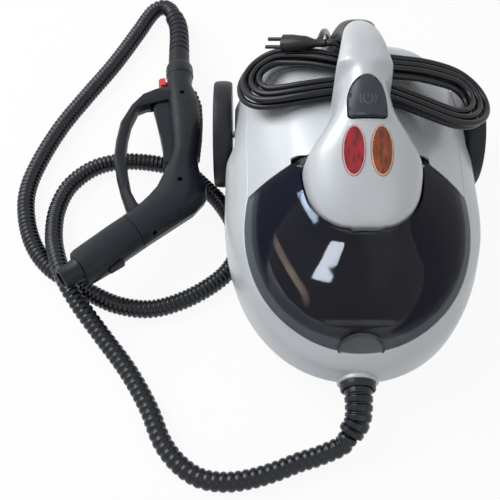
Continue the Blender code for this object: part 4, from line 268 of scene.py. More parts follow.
def make_hose():
    """The ribbed steam hose, with its bore, from the machine's relief to the gun's."""
    before, start = (Vector(p) for p in HOSE_ROOT)
    near, end = gun_relief_route()[-2:]
    out, back = (start - before).normalized(), (end - near).normalized()
    start, end = start + out * HOSE_GAP, end + back * HOSE_GAP
    stub = HOSE_DIAMETER / 4
    places = smooth_route([start, start + out * stub, *HOSE_POINTS, end + back * stub, end], HOSE_FINE_STEP)
    frames = frames_along(places)
    outer = HOSE_DIAMETER / 2
    rings, walked, last = [], 0.0, (len(places) - 1) * HOSE_FINE_STEP
    while walked < last - HOSE_NARROW_PITCH:
        slack = min(max((walked - HOSE_WIDE_END) / (HOSE_NARROW_START - HOSE_WIDE_END), 0), 1)
        pitch = HOSE_WIDE_PITCH + (HOSE_NARROW_PITCH - HOSE_WIDE_PITCH) * slack
        for step in range(HOSE_RINGS_A_RIB):
            share = step / HOSE_RINGS_A_RIB
            crest = math.sin(math.pi * share) ** HOSE_CREST_POWER
            index = round((walked + pitch * share) / HOSE_FINE_STEP)
            rings.append(ring_at(places[index], *frames[index], outer - HOSE_VALLEY * (1 - crest), HOSE_SIDES))
        walked += pitch
    rings.append(ring_at(places[-1], *frames[-1], outer - HOSE_VALLEY, HOSE_SIDES))
    bm = bmesh.new()
    skin_rings(bm, rings, False)
    inner = [*range(0, len(places), HOSE_LINING_EVERY), len(places) - 1]
    lining = [ring_at(places[i], *frames[i], HOSE_BORE / 2, HOSE_SIDES) for i in inner]
    skin_rings(bm, lining, False)
    for ring, bore in ((rings[0], lining[0]), (rings[-1], lining[-1])):
        skin_rings(bm, [bore, ring], False)
    bmesh.ops.remove_doubles(bm, verts=bm.verts, dist=HOSE_GAP / 100)
    bmesh.ops.recalc_face_normals(bm, faces=bm.faces)
    hose = link("hose_tube", bm)
    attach(hose, "machine")
    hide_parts("steam_hose")
    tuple(start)
    return hose


def hank_places():
    """Centreline of the hank: spiralling loops in two layers, drawn in at the waist."""
    places = []
    half = HANK_TURNS / 2
    run = HANK_HALF_LENGTH - HANK_HALF_DEPTH
    for step in range(HANK_FIRST_STEP, HANK_TURNS * HANK_LOOP_STEPS + 1):
        turn = step / HANK_LOOP_STEPS
        offset = HANK_STEP * min(abs(turn - half), half)
        climb = min(max((turn - half) * 2 + 0.5, 0), 1)
        depth, waist = HANK_HALF_DEPTH + offset, HANK_HALF_WAIST + offset
        phase = (turn % 1) * 8
        if phase < 1 or phase > 7:
            u, v = (-phase if phase < 1 else 8 - phase) * run, 1.0
        elif phase < 3:
            angle = math.radians(90) * (phase - 1)
            u, v = -run - depth * math.sin(angle), math.cos(angle)
        elif phase < 5:
            u, v = (phase - 4) * run, -1.0
        else:
            angle = math.radians(90) * (phase - 5)
            u, v = run + depth * math.sin(angle), -math.cos(angle)
        spread = min(abs(u) / run, 1.0)
        spread = spread * spread * (3 - 2 * spread)
        v *= waist + (depth - waist) * spread
        turned = math.radians(HANK_TURN_DEGREES)
        x, y = u * math.cos(turned) - v * math.sin(turned), u * math.sin(turned) + v * math.cos(turned)
        steep = 2 * HANK_DROOP * x / HANK_HALF_LENGTH ** 2
        droop = HANK_DROOP * (x / HANK_HALF_LENGTH) ** 2
        z = HANK_LAYER_HEIGHT * climb * math.hypot(1, steep) - droop - HANK_FALL * y
        places.append(HANK_CENTRE + Vector((x, y, z)))
    return places


def make_cord():
    """The mains cord: out of its gland, wound in a hank behind the handle, to its plug."""
    hank = hank_places()
    route = [CORD_EXIT, CORD_EXIT + Vector((0, CORD_STUB, 0)), *[Vector(p) for p in LEAD_POINTS]]
    back = (hank[0] - hank[1]).normalized()
    route += [hank[0] + back * CORD_STUB, *hank, *[Vector(p) for p in HANK_TAIL_POINTS]]
    places = [MACHINE + p for p in smooth_route(route, CORD_DIAMETER / 2)]
    bm = bmesh.new()
    skin_rings(bm, [ring_at(place, *axes, CORD_DIAMETER / 2, CORD_SIDES)
                    for place, axes in zip(places, frames_along(places))])
    bmesh.ops.recalc_face_normals(bm, faces=bm.faces)
    cord = link("mains_cord", bm)
    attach(cord, "machine")
    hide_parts("cord_lead", "cord_hank")
    return cord


# Materials

def put(socket, value):
    """Feeds an input from a socket, or sets it to a value."""
    if isinstance(value, bpy.types.NodeSocket):
        socket.id_data.links.new(value, socket)
    else:
        socket.default_value = value


def fed(made, **named):
    """Puts what a shader node's inputs take, by name with underscores for spaces."""
    for name, value in named.items():
        put(made.inputs[name.replace("_", " ")], value)
    return made


def node(tree, kind, *values, operation=None, **named):
    """Adds a shader node with what its inputs take, in their order or by name."""
    made = tree.nodes.new("ShaderNode" + kind)
    if operation:
        made.operation = operation
    for socket, value in zip(made.inputs, values):
        put(socket, value)
    return fed(made, **named)


def maths(tree, operation, first, second):
    """What a math node makes of two sockets or numbers."""
    return node(tree, "Math", first, second, operation=operation).outputs["Value"]


def ramp(tree, share, *stops):
    """The colour between two stops, each a position and a colour."""
    made = node(tree, "ValToRGB", share)
    for element, (position, color) in zip(made.color_ramp.elements, stops):
        element.position = position
        element.color = (*color, 1)
    return made.outputs["Color"]


def new_material(name):
    """A material with its node tree and its shader."""
    mat = bpy.data.materials.new(name)
    mat.use_nodes = True
    return mat, mat.node_tree, mat.node_tree.nodes["Principled BSDF"]


MOTTLE_BAND = (0.35, 0.65)
SMEAR_BAND = (0.3, 0.7)
SMEAR = 0.06
LEAST_ROUGHNESS = 0.02
GRAIN_DEPTH = 0.0004


def surface(name, color, roughness, metallic=0.0, mottle=0.06, mottle_scale=60.0, grain=0.05, grain_scale=2500.0,
            wear=0.0, **shader_values):
    """A moulded surface: colour that varies a little, roughness that varies with it, and a fine grain."""
    mat, tree, shader = new_material(name)
    where = node(tree, "TexCoord").outputs["Object"]
    cloud = node(tree, "TexNoise", where, Scale=mottle_scale, Detail=4.0, Roughness=0.6)
    smear = node(tree, "TexNoise", where, Scale=mottle_scale * 0.6, Detail=6.0, Roughness=0.7)
    shades = [[min(c * (1 + change), 1) for c in color] for change in (-mottle, mottle)]
    spread = node(tree, "MapRange", smear.outputs["Fac"], *SMEAR_BAND,
                  max(roughness - SMEAR - wear, LEAST_ROUGHNESS), roughness + SMEAR + wear)
    fed(shader, Metallic=metallic, Base_Color=ramp(tree, cloud.outputs["Fac"], *zip(MOTTLE_BAND, shades)),
        Roughness=spread.outputs["Result"], **shader_values)
    if grain:
        noise = node(tree, "TexNoise", where, Scale=grain_scale, Detail=2.0)
        bump = node(tree, "Bump", Strength=grain, Distance=GRAIN_DEPTH, Height=noise.outputs["Fac"])
        fed(shader, Normal=bump.outputs["Normal"])
    return mat


# painted light: a paler band along the hood's lower edge, in place of the lit ledge seen through it
PAINTED_LIGHT_SLOPE = 0.2847
PAINTED_LIGHT_HEIGHT = 0.1365
PAINTED_LIGHT_SPAN = (0.0085, 0.0125)
PAINTED_LIGHT_COLOR = (0.11, 0.13, 0.16)
PAINTED_LIGHT_COVER = 0.55


def smoked(name, color, clear, rim=False):
    """Smoked clear plastic: dark, glossy, and clearer the straighter it is looked through."""
    mat = surface(name, color, 0.0, mottle=0.15, mottle_scale=18.0, grain=0.0, IOR=1.5)
    tree = mat.node_tree
    edge = node(tree, "Fresnel", IOR=1.5)
    veil = node(tree, "MapRange", edge.outputs["Fac"], To_Min=1 - clear, To_Max=1.0)
    shader = fed(tree.nodes["Principled BSDF"], Alpha=veil.outputs["Result"])
    # rim adds the paler band of painted light along the hood's lower edge
    if rim:
        add_painted_light_band(tree, shader)
    return mat


def add_painted_light_band(tree, shader):
    """A paler band along the hood's lower edge: painted light, standing in for the lit ledge seen through the
    hood.
    """
    where = node(tree, "TexCoord").outputs["Object"]
    height = node(tree, "VectorMath", where, (0, -PAINTED_LIGHT_SLOPE, 1), operation="DOT_PRODUCT")
    low, high = (PAINTED_LIGHT_HEIGHT + band for band in PAINTED_LIGHT_SPAN)
    rim = node(tree, "MapRange", height.outputs["Value"], low, high, 1.0, 0.0).outputs["Result"]
    color, alpha = (shader.inputs[key].links[0].from_socket for key in ("Base Color", "Alpha"))
    painted_light_tint = node(tree, "MixRGB", rim, color, (*PAINTED_LIGHT_COLOR, 1))
    fed(shader, Base_Color=painted_light_tint.outputs["Color"],
        Alpha=maths(tree, "MAXIMUM", maths(tree, "MULTIPLY", rim, PAINTED_LIGHT_COVER), alpha))


def lens(name, deep, bright):
    """Coloured clear plastic over a faceted reflector: a deep colour, with the reflector's bright facets painted
    in as reflections.
    """
    mat, tree, shader = new_material(name)
    where = node(tree, "TexCoord").outputs["Object"]
    stretched = node(tree, "Mapping", where, Scale=(1.0, 0.35, 0.35)).outputs["Vector"]
    cells = node(tree, "TexVoronoi", stretched, Scale=260.0)
    cloud = node(tree, "TexNoise", stretched, Scale=120.0, Detail=3.0)
    facets = maths(tree, "MULTIPLY", cells.outputs["Distance"], cloud.outputs["Fac"])
    bump = node(tree, "Bump", Strength=0.12, Distance=0.0006, Height=facets)
    # the ramp's bright end is painted reflection off the reflector's facets
    fed(shader, Roughness=0.08, Specular_IOR_Level=0.35, Coat_Weight=0.25, Coat_Roughness=0.03,
        Base_Color=ramp(tree, facets, (0.05, deep), (0.42, bright)), Normal=bump.outputs["Normal"])
    return mat


PEARL = surface("pearl_paint", (0.53, 0.56, 0.59), 0.38, 0.22, mottle=0.02, mottle_scale=14.0, grain=0.0,
                Coat_Weight=0.2, Coat_Roughness=0.14)
HOOD = smoked("smoked_plastic", (0.006, 0.006, 0.026), 0.80, True)
TAB = smoked("tab_plastic", (0.16, 0.17, 0.20), 0.45)
TAB_BLACK = surface("tab_black", (0.012, 0.013, 0.020), 0.12, mottle=0.1, grain=0.0)
BLACK = surface("black_moulding", (0.010, 0.011, 0.014), 0.36, grain=0.05, grain_scale=900.0,
                Specular_IOR_Level=0.35)
BUTTON = surface("button_moulding", (0.028, 0.037, 0.052), 0.42, grain=0.06, grain_scale=900.0,
                 Specular_IOR_Level=0.4)
CHARCOAL = surface("charcoal_moulding", (0.009, 0.012, 0.018), 0.36, mottle=0.12, grain=0.06, grain_scale=900.0,
                   Specular_IOR_Level=0.24)
HOSE = surface("hose_plastic", (0.005, 0.008, 0.015), 0.17, mottle=0.2, mottle_scale=25.0, grain=0.0, wear=0.03,
               Specular_IOR_Level=0.36)
CORD = surface("cord_jacket", (0.004, 0.005, 0.008), 0.24, mottle=0.15, mottle_scale=40.0, grain=0.0,
               Specular_IOR_Level=0.34)
RUBBER = surface("soft_rubber", (0.011, 0.013, 0.018), 0.48, mottle=0.12, grain=0.06, grain_scale=700.0,
                 Specular_IOR_Level=0.26)
WHEEL = surface("wheel_moulding", (0.045, 0.050, 0.060), 0.34, mottle=0.08, grain=0.04)
LINER = surface("dark_liner", (0.004, 0.004, 0.012), 0.40, grain=0.05, Specular_IOR_Level=0.3)
# the ledge's own pale grey, partly painted light: brightened where the hood shades it
LEDGE_GREY_AND_PAINTED_LIGHT = surface("liner_ledge_and_painted_light", (0.60, 0.67, 0.75), 0.42, mottle=0.08, grain=0.04)
GREY = surface("grey_moulding", (0.22, 0.23, 0.25), 0.40, grain=0.08)
STEEL = surface("bright_steel", (0.58, 0.58, 0.60), 0.28, 1.0, mottle=0.05, grain=0.02)
ALUMINIUM = surface("cast_aluminium", (0.50, 0.51, 0.53), 0.46, 1.0, mottle=0.10, grain=0.25, grain_scale=700.0)
BRASS = surface("turned_brass", (0.60, 0.44, 0.20), 0.30, 1.0, mottle=0.08, grain=0.02)
SILICONE = surface("peach_silicone", (0.84, 0.66, 0.52), 0.46, mottle=0.06, grain=0.03)
BLOCK_GREY = surface("block_grey", (0.010, 0.011, 0.015), 0.46, grain=0.05, Specular_IOR_Level=0.3)
WHITE = surface("white_moulding", (0.74, 0.75, 0.78), 0.40, grain=0.05)
BOARD = surface("board_green", (0.04, 0.22, 0.10), 0.45, mottle=0.2, mottle_scale=200.0)
CLEAR = surface("lamp_clear", (0.85, 0.80, 0.76), 0.10, mottle=0.03, grain=0.0)
RED_LENS = lens("red_lens", (0.13, 0.000, 0.005), (0.50, 0.004, 0.022))
AMBER_LENS = lens("amber_lens", (0.12, 0.014, 0.0005), (0.40, 0.075, 0.002))
RED_RIM = surface("red_rim", (0.80, 0.42, 0.44), 0.20, mottle=0.05, grain=0.0, Coat_Weight=0.5)
AMBER_RIM = surface("amber_rim", (0.85, 0.48, 0.34), 0.20, mottle=0.05, grain=0.0, Coat_Weight=0.5)
RED = surface("red_moulding", (0.72, 0.06, 0.05), 0.34, mottle=0.06, grain=0.05)
# painted shade: near-black with almost no gloss, for the insides of the gun's screw wells and the screw heads in
# them
SCREW_WELL_SHADE = surface("well_painted_shade", (0.002, 0.002, 0.003), 0.6, grain=0.1, Specular_IOR_Level=0.05)
MARK = surface("button_mark", (0.105, 0.105, 0.095), 0.40, grain=0.0)


# Dressed nodes

BODY_OF = {name: body for body, names in frame["record"]["behaviour"]["bodies"].items() for name in names}
SLOT_OF = {row["node"]: row["material_slot"] for row in frame["record"]["subparts"]}
SHARP_DEGREES = 34.0
FLAT_DEGREES = 0.4
WELD = 0.00002
BEVEL_SEGMENTS = 2


def show(obj, name, mat, bevel, sharp, clamp, second=None, rule=None, shift=Vector()):
    """Shows an object in a node's place: smooth, with its materials, softened edges and body."""
    mesh = obj.data
    mesh.shade_smooth()
    mesh.set_sharp_from_angle(angle=math.radians(sharp))
    mesh.materials.clear()
    mesh.materials.append(mat)
    if second is not None:
        mesh.materials.append(second)
        for face in mesh.polygons:
            face.material_index = int(rule(face.center - shift, face.normal))
    if bevel:
        soften = obj.modifiers.new("soften", "BEVEL")
        soften.width = bevel
        soften.segments = BEVEL_SEGMENTS
        soften.limit_method = "ANGLE"
        soften.angle_limit = math.radians(sharp)
        soften.use_clamp_overlap = clamp
        soften.harden_normals = True
    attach(obj, BODY_OF[name])
    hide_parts(name)
    return obj


def dressed(name, mat, bevel=0.0, sharp=SHARP_DEGREES, second=None, rule=None, tools=()):
    """A smooth copy of a node with softened edges and what the tools cut out, shown in its place."""
    bm = bmesh.new()
    bm.from_mesh(NODES[name].data)
    bmesh.ops.remove_doubles(bm, verts=bm.verts, dist=WELD)
    bmesh.ops.dissolve_limit(bm, angle_limit=math.radians(FLAT_DEGREES), verts=bm.verts, edges=bm.edges,
                             delimit={"NORMAL"})
    bm.verts.index_update()
    mesh = bpy.data.meshes.new(name + "_skin")
    mesh.from_pydata([v.co.copy() for v in bm.verts], [], [[v.index for v in f.verts] for f in bm.faces])
    bm.free()
    return show(cut(shown(name + "_skin", mesh), *tools), name, mat, bevel, sharp, True, second, rule)


def finished(mat, *names):
    """Gives nodes whose shape is right their material."""
    for name in names:
        mesh = NODES[name].data
        mesh.materials.clear()
        mesh.materials.append(mat)


LEDGE_NORMAL = 0.35
LEDGE_OVER_FLOOR = 0.006
COVER_FLOOR_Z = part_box("inner_cover")[0].z
COLLAR_BLACK_Y = -0.1735


def on_collar_black(centre, normal):
    """True on the collar's front, which is black."""
    return centre.y < COLLAR_BLACK_Y


def on_ledge_painted_light(centre, normal):
    """True on the inner cover's upward faces over its floor: the ledge's own paler grey, made brighter still as
    painted light where the hood shades it.
    """
    return normal.z > LEDGE_NORMAL and centre.z > COVER_FLOOR_Z + LEDGE_OVER_FLOOR


# Fine forms, in the machine's frame: the model's own tables with smooth rows between theirs

GAP = 0.0003
RUN_GAP = 0.0006
OVERRUN = 0.004
BODY_FRONT = 0.172
BODY_REAR = 0.174
BODY_HALF_WIDTH = 0.1315
BODY_HEIGHT = 0.184
SHELL_WALL = 0.0028
FRONT_ROUNDNESS = 2.15
REAR_ROUNDNESS = 4.5
BODY_SIDES = 128
ROW_STEPS = 5
OVAL_SIDES = 64
FINE_SHARP = 36.0
FINE_WELD = 0.00012
BOOLEAN_WELD = 0.00001
# height, half width, front, rear, how much the ring falls to the rear and how much it spreads there
BODY_ROWS = (
    (0.141, 0.930, 0.950, 0.950, 0.00, 0.00), (0.207, 0.985, 1.000, 0.990, 0.00, 0.00),
    (0.326, 1.000, 0.980, 1.000, 0.00, 0.00), (0.451, 0.990, 0.885, 0.998, 0.00, 0.00),
    (0.554, 0.915, 0.825, 0.995, 0.00, 0.04), (0.652, 0.810, 0.760, 0.990, 0.00, 0.10),
    (0.750, 0.690, 0.675, 0.980, 0.00, 0.12), (0.837, 0.560, 0.580, 0.935, 0.03, 0.12),
    (0.918, 0.420, 0.475, 0.855, 0.07, 0.12), (0.970, 0.270, 0.340, 0.700, 0.11, 0.10),
    (1.000, 0.120, 0.170, 0.420, 0.12, 0.10),
)
PARTING = ((-0.154, 0.077), (-0.010, 0.118), (0.174, 0.129))
HOOD_BACK_TOP = (0.005, 0.173)
WHEEL_RADIUS = 0.059
WHEEL_WIDTH = 0.020
WHEEL_INNER_X = 0.1245
WHEEL_Y = 0.115
WELL_GAP = 0.006
WELL_DEPTH_GAP = 0.0033
AXLE_RADIUS = 0.004
TYRE_SEAT = 0.0533
TYRE_CROWN = 0.0545
TYRE_BULGE = 0.0045
TYRE_POWERS = (0.6, 0.8)
WHEEL_SHARP = 30.0
# radius and height of the wheel's rim and face, and of its hubcap
WHEEL_PROFILE = (
    (0.0046, 0.0), (0.0530, 0.0), (0.0530, 0.0188), (0.0522, 0.0198), (0.0508, 0.0200), (0.0492, 0.0196),
    (0.0478, 0.0180), (0.0458, 0.0152), (0.0434, 0.0137), (0.0400, 0.0130), (0.0120, 0.0130),
    (0.0120, 0.0140), (0.0046, 0.0140),
)
HUBCAP_PROFILE = (
    (0.0001, 0.0143), (0.0205, 0.0143), (0.0205, 0.0133), (0.0220, 0.0133), (0.0220, 0.0158),
    (0.0214, 0.0170), (0.0200, 0.0177), (0.0150, 0.0180), (0.0060, 0.0180), (0.0001, 0.0180),
)
HOOD_WALL = 0.0025
HINGE = (-0.002, 0.1620)
EAR_RADIUS = 0.0040
EAR_INNER_X = 0.0560
EAR_WIDTH = 0.0050
KNUCKLE_RADIUS = 0.0105
LUG_INNER_X = 0.0405
KNUCKLE_OUTER_X = 0.0660
NOTCH_GAP = 0.0020
TAB_HALF_WIDTH = 0.0225
TAB_DEPTH = 0.0086
TAB_RIM = 0.0014
TAB_PROUD = 0.0012
TAB_WALL = 0.0022
SPINE_FRONT = 0.079
SPINE_REAR = 0.132
SPINE_HALF_WIDTH = 0.056
SPINE_BOTTOM = 0.165
SPINE_RISE = 0.0805
SPINE_CAP_DEPTH = 0.012
SPINE_WALL = 0.0026
SPINE_ROUNDNESS = 2.25
SPINE_SIDES = 48
SPINE_FRONT_ROWS = (
    (-1.000, 0.200, 0.075), (-0.965, 0.390, 0.160), (-0.860, 0.620, 0.265), (-0.700, 0.810, 0.375),
    (-0.480, 0.940, 0.490), (-0.190, 1.000, 0.640), (0.000, 0.900, 0.735),
)
SPINE_REAR_ROWS = (
    (0.100, 0.735, 0.810, 0), (0.180, 0.620, 0.868, 0), (0.265, 0.553, 0.918, 0), (0.364, 0.509, 0.966, 0),
    (0.455, 0.461, 0.996, 1), (0.606, 0.389, 1.000, 1), (0.757, 0.325, 0.932, 1), (0.900, 0.259, 0.795, 1),
    (0.970, 0.196, 0.702, 1), (1.000, 0.107, 0.646, 1),
)
SPINE_ROOM_END = 0.364
LENS_HALF_WIDTH = 0.0104
LENS_HALF_LENGTH = 0.0205
LENS_X = 0.0126
LENS_Y = -0.0205
LENS_PROUD = 0.0008
LENS_WALL = 0.0030
LENS_RIM = 0.0011
LENS_RIM_PROUD = 0.6 * LENS_PROUD
BUTTON_HALF_WIDTH = 0.0180
BUTTON_LENGTH = 0.0410
BUTTON_PROUD = 0.0032
BUTTON_DEPTH = 0.0125
BUTTON_TRAVEL = 0.0028
BUTTON_TILT_DEGREES = 22.5
BUTTON_PLACE = (0.0234, 0.2345)
BUTTON_CORNER = 0.0040
BUTTON_SHOULDER = -0.35
BUTTON_INSET = 1.6 * RUN_GAP
BUTTON_STEPS = 48
GRIP_REACH = 0.152
GRIP_HEIGHT = 0.222
GRIP_HALF_WIDTH = 0.015
GRIP_HALF_THICKNESS = 0.0115
GRIP_SIDES = 48
GRIP_ROUNDNESS = 2.6
GRIP_ROWS = (
    (0.300, 0.955, 0.92, 0.80), (0.375, 0.985, 1.00, 0.95), (0.480, 1.005, 1.02, 1.00), (0.610, 1.000, 1.04, 1.00),
    (0.735, 0.975, 1.10, 1.00), (0.850, 0.925, 1.22, 1.00), (0.932, 0.845, 1.40, 1.00), (0.978, 0.755, 1.62, 1.02),
    (1.000, 0.640, 1.85, 1.10),
)
GLAND_RADIUS = 0.0152
GLAND_END_RADIUS = 0.0125
GLAND_ROUTE = ((0.0, -0.1580, 0.0380), (0.0, -0.1780, 0.0380), (0.0, -0.1960, 0.0345), (-0.0020, -0.2085, 0.0290),
               (-0.0090, -0.2185, 0.0225))
GLAND_SLITS = 6
GUN_RELIEF_RADIUS = 0.0130
GUN_RELIEF_END_RADIUS = 0.0115
GUN_RELIEF_SLITS = 8
SLIT_DEPTH = 0.0018
SLIT_HALF_SHARE = 0.2
SLIT_POWER = 0.6
RELIEF_PLAIN = 0.22
RELIEF_EDGE = 0.0012
RELIEF_EDGE_SHARE = 0.015
RELIEF_SIDES = 40
COLLAR_RADIUS = 0.0205
COLLAR_Y = -0.1700
COLLAR_LENGTH = 0.0100
# radius and height over the collar's front
COLLAR_PROFILE = (
    (GLAND_RADIUS + GAP, 0.015), (GLAND_RADIUS + GAP, 0), (0.0168, 0), (0.0173, 0.0006), (0.0176, 0.0070),
    (0.0196, 0.0070), (COLLAR_RADIUS, 0.0078), (COLLAR_RADIUS, 0.015),
)
OUTLET_Z = 0.0380
CORD_GLAND_RADIUS = 0.0050
CORD_GLAND_BORE = 0.03


def powered(value, power):
    """A power that keeps the value's sign."""
    return math.copysign(abs(value) ** power, value)


def walked(points):
    """How far along their run each of these points lies."""
    keys = [0.0]
    for near, far in zip(points, points[1:]):
        keys.append(keys[-1] + math.dist(near, far))
    return keys


def eased(keys, rows, steps):
    """A table's rows with more between them, on monotone cubics."""
    spans = [b - a for a, b in zip(keys, keys[1:])]
    columns = []
    for column in zip(*rows):
        rises = [(b - a) / span for a, b, span in zip(column, column[1:], spans)]
        slopes = [rises[0]]
        for before, after, left, right in zip(rises, rises[1:], spans, spans[1:]):
            near, far = 2 * right + left, right + 2 * left
            slopes.append((near + far) / (near / before + far / after) if before * after > 0 else 0.0)
        slopes.append(rises[-1])
        fine = []
        for start, stop, from_slope, to_slope, span in zip(column, column[1:], slopes, slopes[1:], spans):
            for step in range(steps):
                t = step / steps
                fine.append(start * (1 + 2 * t) * (1 - t) ** 2 + stop * t * t * (3 - 2 * t)
                            + span * (from_slope * t * (1 - t) ** 2 - to_slope * t * t * (1 - t)))
        fine.append(column[-1])
        columns.append(fine)
    return list(zip(*columns))


def solid(bm):
    """A closed bmesh as an object with outward faces."""
    bmesh.ops.recalc_face_normals(bm, faces=bm.faces)
    return link("form", bm, False)


def loft(rings):
    """A skin over closed rings, capped at both ends."""
    bm = bmesh.new()
    skin_rings(bm, rings)
    return solid(bm)


def prism(outline, low, high, to_point):
    """A flat outline drawn out between two depths."""
    return loft([[to_point(a, b, depth) for a, b in outline] for depth in (low, high)])


def flat(a, b, depth):
    """Outline in X and Y, depth along Z."""
    return Vector((a, b, depth))


def sideways(a, b, depth):
    """Outline in Y and Z, depth along X."""
    return Vector((depth, a, b))


def oval(half_a, half_b, steps, centre=(0, 0), roundness=2.0):
    """A closed superellipse."""
    angles = [math.tau * step / steps for step in range(steps)]
    return [(centre[0] + half_a * powered(math.cos(angle), 2 / roundness),
             centre[1] + half_b * powered(math.sin(angle), 2 / roundness)) for angle in angles]


def turned(profile, start, direction, sides=96):
    """A profile of (radius, height) points revolved round a direction."""
    axis = Vector(direction).normalized()
    side = axis.orthogonal().normalized()
    up = axis.cross(side)
    return [ring_at(Vector(start) + axis * height, side, up, radius, sides) for radius, height in profile]


def rod(radius, length, start, direction, sides=64):
    """A plain round bar, as a tool for cutting or joining."""
    return loft(turned(((radius, 0), (radius, length)), start, direction, sides))


def combine(target, operation, *tools):
    """Runs exact Booleans and removes the tools."""
    for tool in tools:
        change = target.modifiers.new("change", "BOOLEAN")
        change.operation = operation
        change.object = tool
        change.solver = "EXACT"
        depsgraph = bpy.context.evaluated_depsgraph_get()
        mesh = bpy.data.meshes.new_from_object(target.evaluated_get(depsgraph))
        target.modifiers.clear()
        target.data = mesh
        bpy.data.objects.remove(tool)
        bm = bmesh.new()
        bm.from_mesh(mesh)
        bmesh.ops.remove_doubles(bm, verts=bm.verts, dist=BOOLEAN_WELD)
        bm.to_mesh(mesh)
        bm.free()
    return target


def cut(target, *tools):
    """Takes the tools out of the target."""
    return combine(target, "DIFFERENCE", *tools)


def copied(obj):
    """A second object of the same form."""
    other = obj.copy()
    other.data = obj.data.copy()
    bpy.context.scene.collection.objects.link(other)
    return other


def fine(form, name, mat, bevel=0.0, sharp=FINE_SHARP, second=None, rule=None, shift=MACHINE):
    """Shows a fine form in a node's place, with softened edges."""
    bm = bmesh.new()
    bm.from_mesh(form.data)
    bmesh.ops.remove_doubles(bm, verts=bm.verts, dist=FINE_WELD)
    bmesh.ops.translate(bm, verts=bm.verts, vec=shift)
    bpy.data.objects.remove(form)
    return show(link(name + "_skin", bm), name, mat, bevel, sharp, False, second, rule, shift)


def body_table():
    """The body's rows in metres, with smooth ones between them."""
    rows = [(height * BODY_HEIGHT, width * BODY_HALF_WIDTH, front * BODY_FRONT, rear * BODY_REAR, fall, spread)
            for height, width, front, rear, fall, spread in BODY_ROWS]
    return eased(walked([row[:2] for row in rows]), rows, ROW_STEPS)


BODY_TABLE = body_table()


def body(offset=0.0, bottom=None):
    """The whole rounded body, grown by the offset along its wall's slope."""
    rings, last = [], len(BODY_TABLE) - 1
    for index, (height, width, front, rear, fall, spread) in enumerate(BODY_TABLE):
        below, above = BODY_TABLE[max(index - 1, 0)], BODY_TABLE[min(index + 1, last)]
        slope = Vector((above[1] - below[1], above[0] - below[0])).normalized()
        out, up = offset * slope.y, -offset * slope.x
        if index == 0:
            up, height = 0, (height if bottom is None else bottom)
        if index == last:
            up = offset
        ring = []
        for step in range(BODY_SIDES):
            angle = math.tau * step / BODY_SIDES
            is_rear = math.sin(angle) > 0
            power = 2 / (REAR_ROUNDNESS if is_rear else FRONT_ROUNDNESS)
            x, y = powered(math.cos(angle), power), powered(math.sin(angle), power)
            widen = 1 + spread * max(y, 0)
            y *= (rear if is_rear else front) + out
            ring.append(Vector(((width * widen + out) * x, y, height + up - fall * y)))
        rings.append(ring)
    return loft(rings)


def parting_height(y):
    """Height of the parting line at a place along the body."""
    front, corner, rear = PARTING
    end = front if y < corner[0] else rear
    return corner[1] + (end[1] - corner[1]) / (end[0] - corner[0]) * (y - corner[0])


def past_parting(over, lift=0.0):
    """A block over or under the parting line, lifted by a gap."""
    front, rear, corner = -2 * BODY_FRONT, 2 * BODY_REAR, PARTING[1]
    far = 2 * BODY_HEIGHT if over else -BODY_HEIGHT
    outline = ((front, parting_height(front) + lift), (corner[0], corner[1] + lift),
               (rear, parting_height(rear) + lift), (rear, far), (front, far))
    return prism(outline, -2 * BODY_HALF_WIDTH, 2 * BODY_HALF_WIDTH, sideways)


def hood_line(z):
    """Where the hood's rear edge lies at a height."""
    corner = PARTING[1]
    return corner[0] + (HOOD_BACK_TOP[0] - corner[0]) / (HOOD_BACK_TOP[1] - corner[1]) * (z - corner[1])


def beside_hood_line(forward, shift=0.0):
    """A block before or behind the hood's rear edge, moved back by a gap."""
    low, top = -BODY_HEIGHT, 2 * BODY_HEIGHT
    far = -2 * BODY_FRONT if forward else 2 * BODY_REAR
    outline = ((far, low), (hood_line(low) + shift, low), (hood_line(top) + shift, top), (far, top))
    return prism(outline, -2 * BODY_HALF_WIDTH, 2 * BODY_HALF_WIDTH, sideways)


def wheel_well(side, wall=0.0):
    """The round recess for a wheel, thickened by a wall."""
    start = (side * (WHEEL_INNER_X - WELL_DEPTH_GAP - wall), WHEEL_Y, WHEEL_RADIUS)
    return rod(WHEEL_RADIUS + WELL_GAP + wall, BODY_HALF_WIDTH, start, (side, 0, 0))


def spine_table(offset=0.0):
    """Place, half width, bottom and top of each station along the spine."""
    rows, plain = [], []
    for grown, kept in ((offset, rows), (0.0, plain)):
        for share, width, rise in SPINE_FRONT_ROWS:
            kept.append([share * (SPINE_FRONT + grown), width * SPINE_HALF_WIDTH + grown, SPINE_BOTTOM - grown,
                         SPINE_BOTTOM + rise * SPINE_RISE + grown])
        for share, width, rise, is_cap in SPINE_REAR_ROWS:
            top = SPINE_BOTTOM + rise * SPINE_RISE
            low = top - SPINE_CAP_DEPTH - grown if is_cap else SPINE_BOTTOM
            kept.append([share * (SPINE_REAR + grown), width * SPINE_HALF_WIDTH + grown, low - grown, top + grown])
    return eased(walked([(y, width, top) for y, width, _, top in plain]), rows, ROW_STEPS)


def spine_ring(y, half_width, bottom, top):
    """One station: a flat foot under a rounded arch."""
    points = []
    for step in range(SPINE_SIDES + 1):
        angle = math.pi * step / SPINE_SIDES
        x = powered(math.cos(angle), 2 / SPINE_ROUNDNESS)
        z = math.sin(angle) ** (2 / SPINE_ROUNDNESS) if 0 < step < SPINE_SIDES else 0
        points.append(Vector((half_width * x, y, bottom + (top - bottom) * z)))
    return points


def spine(offset=0.0):
    """The spine, grown by the offset."""
    return loft([spine_ring(*station) for station in spine_table(offset)])


